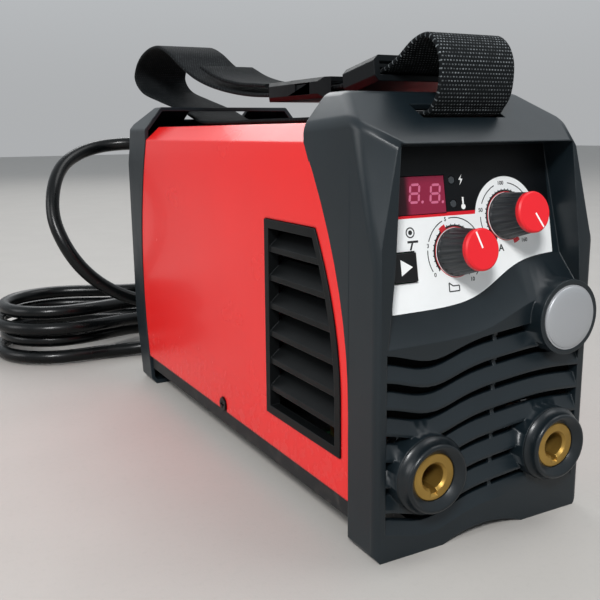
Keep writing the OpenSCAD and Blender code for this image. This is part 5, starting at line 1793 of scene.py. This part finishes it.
@dataclass
class ControlPanel:
    """Print on the control panel, the display's digits, the knobs' bodies and the marks on them."""

    plane: PanelFrame = PanelFrame()
    arc: Dial = Dial("arc_knob", Body.ARC_KNOB, (-10.0, 121.6), 112.0, 26, -57, 274,
                     ((-57, "10"), (106, "5"), (166, "3"), (217, "0")), (112, 128, 2.2))
    current: Dial = Dial("current_knob", Body.CURRENT_KNOB, CURRENT_DIAL, -58.0, 32, -50, 286,
                         ((-50, "160"), (97, "100"), (167, "50"), (236, "5")), (-74, -58, 1.8))
    knob_top: float = 16.9
    sunk: float = 0.02
    button: Flat = (-36.6, 117.5)
    button_top: float = 1.6
    arrow: tuple[Flat, ...] = ((-2.2, -3.2), (3.4, 0), (-2.2, 3.2))
    arrow_thick: float = 0.08
    digits: tuple[Flat, ...] = ((-27.9, 145.8), (-17.7, 145.4))
    digit_size: Flat = (4.4, 7.0)
    digit_lean: float = 0.16
    digit_thick: float = 0.05
    segment: float = 1.0
    segment_gap: float = 0.25
    point: float = 0.6
    point_right: float = 1.9
    pointer: Flat = (0.6, 7.6)
    pointer_width: float = 0.75
    pointer_thick: float = 0.12
    scale_r: float = 11.1
    band: Flat = (10.8, 0.8)
    mark: Point = (1.0, 0.45, Ink.THICK)
    figure_r: float = 14.1
    figure: float = 2.3
    figure_width: float = 0.45
    figure_gap: float = 3.0
    figure_line: float = 0.4
    letter: tuple[str, Flat, float] = ("A", (14.6, 121.3), 4.2)
    ring_sign: Flat = (-31.8, 130.8)
    ring_sizes: tuple[Flat, ...] = ((1.9, 0.5), (0.5, 0.9))
    rod_sign: Flat = (-30.9, 126.3)
    rod_bars: tuple[tuple[Flat, Flat, float], ...] = (
        ((-2.6, 0.9), (2.6, 0.9), 0.9), ((-0.2, 0.6), (-1.4, -2.4), 0.8))
    slope_sign: Flat = (-12.2, 107.6)
    slope_outline: tuple[Flat, ...] = ((-2.6, -1.6), (2.6, -1.6), (2.6, 0.6), (-0.6, 0.6), (-2.6, 2.0))
    slope_line: float = 0.5
    red_thick: float = 0.08
    red_r: float = 11.4
    red_ring: Flat = (10.25, 0.3)
    bolt_sign: Flat = (-4.3, 150.3)
    bolt: tuple[Flat, ...] = ((-0.9, 0.2), (0.2, -0.2), (-0.5, -2.2), (1.2, 0.3), (0.1, 0.6), (0.9, 2.2))
    warm_sign: Flat = (-3.8, 141.0)
    warm_stem: tuple[Flat, Flat, float] = ((0, -0.9), (0, 2.4), 0.8)
    warm_bulb: Flat = (-1.5, 1.1)

    def _dial(self, ink: Ink, ring: BarRing, dial: Dial) -> None:
        """Prints one dial: a scale with marks, then figures with arcs between them.

        Args:
            ink: The print to add to.
            ring: The maker of the marks.
            dial: The dial.
        """
        at = self.plane.matrix(*dial.spot)
        ink.arc(at, *self.band, dial.start, dial.start + dial.sweep)
        marks = ring.mesh("dial_marks", dial.ticks, dial.start, dial.sweep, self.scale_r, self.mark,
                          INK_BLACK)
        marks.transform(shift(0, 0, Ink.THICK / 2))
        ink.join(marks, at)
        for angle, word in dial.figures:
            a = math.radians(angle)
            spot = shift(self.figure_r * math.cos(a), self.figure_r * math.sin(a))
            ink.text(at @ spot, word, self.figure)
        spare = [math.degrees(self.figure_width * self.figure * len(word) / self.figure_r) + self.figure_gap
                 for _, word in dial.figures]
        angles = [angle for angle, _ in dial.figures]
        for i in range(len(angles) - 1):
            ink.arc(at, self.figure_r, self.figure_line, angles[i] + spare[i], angles[i + 1] - spare[i + 1])

    def _print_black(self, ring: BarRing) -> None:
        """Prints the dials and the signs beside them.

        Args:
            ring: The maker of the dials' marks.
        """
        ink = Ink("panel_print_black")
        for dial in (self.current, self.arc):
            self._dial(ink, ring, dial)
        letter, spot, size = self.letter
        ink.text(self.plane.matrix(*spot), letter, size)
        for radius, width in self.ring_sizes:
            ink.arc(self.plane.matrix(*self.ring_sign), radius, width, *ROUND)
        for a, b, width in self.rod_bars:
            ink.bar(self.plane.matrix(*self.rod_sign), a, b, width)
        for a, b in zip(self.slope_outline, self.slope_outline[1:] + self.slope_outline[:1]):
            ink.bar(self.plane.matrix(*self.slope_sign), a, b, self.slope_line)
        ink.done(INK_BLACK, Body.CASING)

    def _print_red(self) -> None:
        """Prints each dial's red stretch and the thin ring round its knob."""
        ink = Ink("panel_print_red", self.red_thick)
        dials = (self.arc, self.current)
        for dial in dials:
            start, end, width = dial.red
            ink.arc(self.plane.matrix(*dial.spot), self.red_r, width, start, end)
        for dial in dials:
            ink.arc(self.plane.matrix(*dial.spot), *self.red_ring, *ROUND)
        ink.done(INK_RED, Body.CASING)

    def _print_white(self) -> None:
        """Prints the signs beside the lamps."""
        ink = Ink("panel_print_white")
        ink.polygon(self.plane.matrix(*self.bolt_sign), self.bolt)
        warm = self.plane.matrix(*self.warm_sign)
        ink.bar(warm, *self.warm_stem)
        low, radius = self.warm_bulb
        ink.arc(warm @ shift(0, low), radius / 2, radius, *ROUND)
        ink.done(INK_WHITE, Body.CASING)

    def _digits(self) -> None:
        """Builds two seven-bar digits with their points on the display's face."""
        ink = Ink("display_digits", self.digit_thick)
        w, h = self.digit_size
        s = self.segment
        bars = (((0, h), (w, h)), ((0, h / 2), (w, h / 2)), ((0, 0), (w, 0)), ((0, 0), (0, h / 2)),
                ((0, h / 2), (0, h)), ((w, 0), (w, h / 2)), ((w, h / 2), (w, h)))
        lean = Matrix(((1, self.digit_lean, 0, 0), (0, 1, 0, 0), (0, 0, 1, 0), (0, 0, 0, 1)))
        for spot in self.digits:
            at = self.plane.matrix(*spot) @ lean @ shift(-w / 2, -h / 2)
            for a, b in bars:
                start, end = Vector(a), Vector(b)
                along = (end - start).normalized()
                side = Vector((-along.y, along.x)) * s / 2
                a1, b1 = start + along * self.segment_gap, end - along * self.segment_gap
                a2, b2 = a1 + along * s / 2, b1 - along * s / 2
                corners = (a1, a2 - side, b2 - side, b1, b2 + side, a2 + side)
                ink.polygon(at, [tuple(corner) for corner in corners])
            ink.arc(at @ shift(w + self.point_right, 0), self.point / 2, self.point, *ROUND)
        ink.done(SEGMENT, Body.CASING)

    def _marks(self) -> None:
        """Puts the pointer lines on the knob caps and the arrow on the button."""
        for dial in (self.arc, self.current):
            ink = Ink(f"{dial.node}_pointer", self.pointer_thick)
            a = math.radians(dial.pointer)
            inner, outer = ((r * math.cos(a), r * math.sin(a)) for r in self.pointer)
            at = self.plane.matrix(*dial.spot, lift=self.knob_top - self.sunk)
            ink.bar(at, inner, outer, self.pointer_width)
            ink.done(INK_WHITE, dial.body)
        ink = Ink("button_arrow", self.arrow_thick)
        ink.polygon(self.plane.matrix(*self.button, lift=self.button_top - self.sunk), self.arrow)
        ink.done(INK_WHITE, Body.MODE_BUTTON)

    def build(self, ring: BarRing) -> None:
        """Builds everything printed or lit on the panel, and the knobs' bodies.

        Args:
            ring: The maker of the dials' marks.
        """
        self._print_black(ring)
        self._print_red()
        self._print_white()
        self._digits()
        self._marks()
        for dial in (self.arc, self.current):
            KnobBody(dial.node, dial.spot, dial.body).build(self.plane)


@dataclass
class KnobBody:
    """A knob's fluted black body, wider at its foot, under the red cap."""

    node: str
    spot: Flat
    body: Body
    foot: float = 9.9
    neck: float = 8.3
    low: float = 0.4
    high: float = 14.5
    rim: float = 1.0
    step: Flat = (0.1, 0.2)
    bore: float = 3.0
    bore_end: float = 10.4
    flutes: int = 20
    flute_depth: float = 0.55
    flute_steps: int = 8

    def _fluted(self, radius: float) -> Radius:
        """Gives a fluted outline of an outer radius."""
        return lambda angle: radius - self.flute_depth * (0.5 - 0.5 * math.cos(self.flutes * angle)) ** 2

    def build(self, plane: PanelFrame) -> None:
        """Builds the body in its CAD node's place.

        Args:
            plane: The panel's plane.
        """
        name = f"{self.node}_fluted"
        step_in, step_up = self.step
        above = self.low + self.rim
        rings = [(self.bore, self.bore_end), (self.bore, self.low), (self.foot, self.low),
                 (self.foot, above), (self._fluted(self.foot - step_in), above + step_up),
                 (self._fluted(self.neck), self.high)]
        mesh = revolved(name, rings, plane.matrix(*self.spot), self.flutes * self.flute_steps)
        add_piece(name, mesh, KNOB, self.body, (self.node,))


@dataclass
class OutputSocket:
    """One output socket: brass with a keyed bore, set back in a black cup."""

    side: str
    x: float
    z: float = SOCKET[1]
    brass: float = 10.0
    chamfer: float = 0.5
    stud: float = 6.0
    bore: float = 5.2
    key: float = 7.2
    key_half: float = 1.8
    key_long: float = 12.0
    mouth: float = 1.1
    face: float = 7.0
    shoulder: float = -24.0
    stud_end: float = -36.0
    bore_end: float = -20.0
    cup: float = 14.5
    flare: Flat = (16.6, 4.7)
    waist: Flat = (14.9, 5.9)
    flare_steps: int = 10
    neck: float = 12.0
    neck_end: float = -10.5
    seat: float = 4.6
    proud: float = 10.0
    step: float = 0.1
    lip: float = 1.2
    lip_steps: int = 8
    lip_turn: float = 115.0
    sides: int = 120

    def _keyed(self, over: float) -> Radius:
        """Gives the bore's outline with its keyway below, both widened by a margin."""
        half = math.asin(self.key_half / self.key)
        return lambda angle: (self.key if abs(angle - 1.5 * math.pi) < half else self.bore) + over

    def _brass(self) -> list[tuple[Radius, float]]:
        """Lists the brass's rings.

        Returns:
            Radius and height of each ring, from the end of the stud round to the end of the bore.
        """
        key_end = self.face - self.key_long
        return [(self.stud, self.stud_end), (self.stud, self.shoulder), (self.brass, self.shoulder),
                (self.brass, self.face - self.chamfer), (self.brass - self.chamfer, self.face),
                (self._keyed(self.mouth), self.face), (self._keyed(0), self.face - self.mouth),
                (self._keyed(0), key_end), (self.bore, key_end), (self.bore, self.bore_end)]

    def _cup(self) -> list[tuple[Radius, float]]:
        """Lists the cup's rings.

        Returns:
            Radius and height of each ring: neck, flare, round lip and the funnel down to the brass.
        """
        middle = (self.cup - self.lip, self.proud - self.lip)
        turns = [math.radians(self.lip_turn * i / self.lip_steps) for i in range(self.lip_steps + 1)]
        lip = [(middle[0] + self.lip * math.cos(a), middle[1] + self.lip * math.sin(a)) for a in turns]
        foot, waist, top = Vector(self.flare), Vector(self.waist), Vector(lip[0])
        flare = [foot.lerp(waist, t).lerp(waist.lerp(top, t), t)
                 for t in (i / self.flare_steps for i in range(self.flare_steps))]
        return [(self.brass, self.neck_end), (self.neck, self.neck_end), (self.neck, self.seat),
                *(tuple(p) for p in flare), *lip, (self.brass, self.face + self.step)]

    def build(self) -> None:
        """Builds both pieces in their CAD nodes' places."""
        at = PanelFrame(tilt=0.0, depth=0.0, label=0.0).matrix(self.x, self.z)
        brass = revolved(f"{self.side}_socket_keyed", self._brass(), at, self.sides)
        add_piece(brass.name, brass, BRASS, Body.CASING, (f"{self.side}_socket",))
        cup = revolved(f"{self.side}_socket_cup", self._cup(), at, self.sides, closed=True)
        add_piece(cup.name, cup, INSULATOR, Body.CASING, (f"{self.side}_insulator",))


@dataclass
class ShadeSheets:
    """Thin black sheets that stand in for shade where the view would pass through: behind the gills, and
    over the strap's window.
    """

    # Painted shade: each sheet is black only to stand for the shade there.
    sheets: tuple[tuple[str, Point, Point], ...] = (
        ("upper_gill_shade_sheet", (-51, 5.9, 54), (51, 6.2, 92)),
        ("lower_gill_shade_sheet", (-15, 5.9, 13), (15, 6.2, 54)),
        ("strap_shade_sheet", (-21, 50.0, 177.6), (21, 50.4, 178.8)))

    def build(self) -> None:
        """Builds each sheet as a thin box."""
        for name, low, high in self.sheets:
            build = bmesh.new()
            bmesh.ops.create_cube(build, size=1.0)
            middle = (Vector(low) + Vector(high)) / 2
            size = (Vector(high) - Vector(low)) * MM
            build.transform(Matrix.LocRotScale(place(*middle), None, size))
            add_piece(name, mesh_from(name, build), SHADE_SHEET, Body.CASING)


@dataclass
class RockerMarks:
    """The on and off marks on the power rocker's two faces."""

    pivot: Point = (26.0, 299.6, 136.0)
    rest: float = math.radians(-8.0)
    middle: Flat = (4.7, 4.95)
    slope: float = math.atan2(2.6, 9.9)
    size: float = 5.5
    line: float = 0.9
    thick: float = 0.1

    def _face(self, side: int) -> Matrix:
        """Finds the plane of one of the rocker's faces.

        Args:
            side: 1 for the upper face, -1 for the lower one.

        Returns:
            The plane's frame.
        """
        out, up = self.middle
        rest = Matrix.Rotation(self.rest, 4, "X")
        spot = Matrix.Translation(Vector((0, out, side * up)) * MM)
        turn = Matrix.Rotation(math.pi, 4, "Z") @ Matrix.Rotation(math.pi / 2 + side * self.slope, 4, "X")
        return Matrix.Translation(place(*self.pivot)) @ rest @ spot @ turn

    def build(self) -> None:
        """Prints a bar on the upper face and a ring on the lower one."""
        ink = Ink("rocker_marks", self.thick)
        half = self.size / 2
        ink.bar(self._face(1), (0, -half), (0, half), self.line)
        ink.arc(self._face(-1), half - self.line / 2, self.line, *ROUND)
        ink.done(INK_WHITE, Body.POWER_ROCKER)


@dataclass
class PlugGrip:
    """Grip ribs round the mains plug."""

    axis: Point = (54.0, 325.0, 19.4)
    count: int = 18
    radius: float = 14.9
    rib: Point = (1.0, 1.6, 15.0)
    start: float = 12.0

    def build(self, ring: BarRing) -> None:
        """Builds the ribs round the plug's waist.

        Args:
            ring: The maker of the ribs.
        """
        sweep = TURN - TURN / self.count
        ribs = ring.mesh("plug_grip_ribs", self.count, 0, sweep, self.radius, self.rib, RUBBER)
        x, depth, z = self.axis
        turn = Matrix.Rotation(math.pi / 2, 4, "Y")
        ribs.transform(Matrix.Translation(place(x + self.start, depth, z)) @ turn)
        add_piece("plug_grip_ribs", ribs, RUBBER, Body.CASING)


def main() -> None:
    """Builds the scene in order."""
    logging.basicConfig(level=logging.INFO, format="%(name)s: %(message)s")
    PhotoCamera().build()
    MainsLead().build()
    Studio().build()
    WARDROBE.dress_frame()
    ring = BarRing()
    CarryStrap().build(StitchRow())
    RoundedParts().build()
    RoundedBezels().build()
    ControlPanel().build(ring)
    OutputSocket("left", -SOCKET[0]).build()
    OutputSocket("right", SOCKET[0]).build()
    ShadeSheets().build()
    RockerMarks().build()
    PlugGrip().build(ring)


if __name__ == "__main__":
    main()
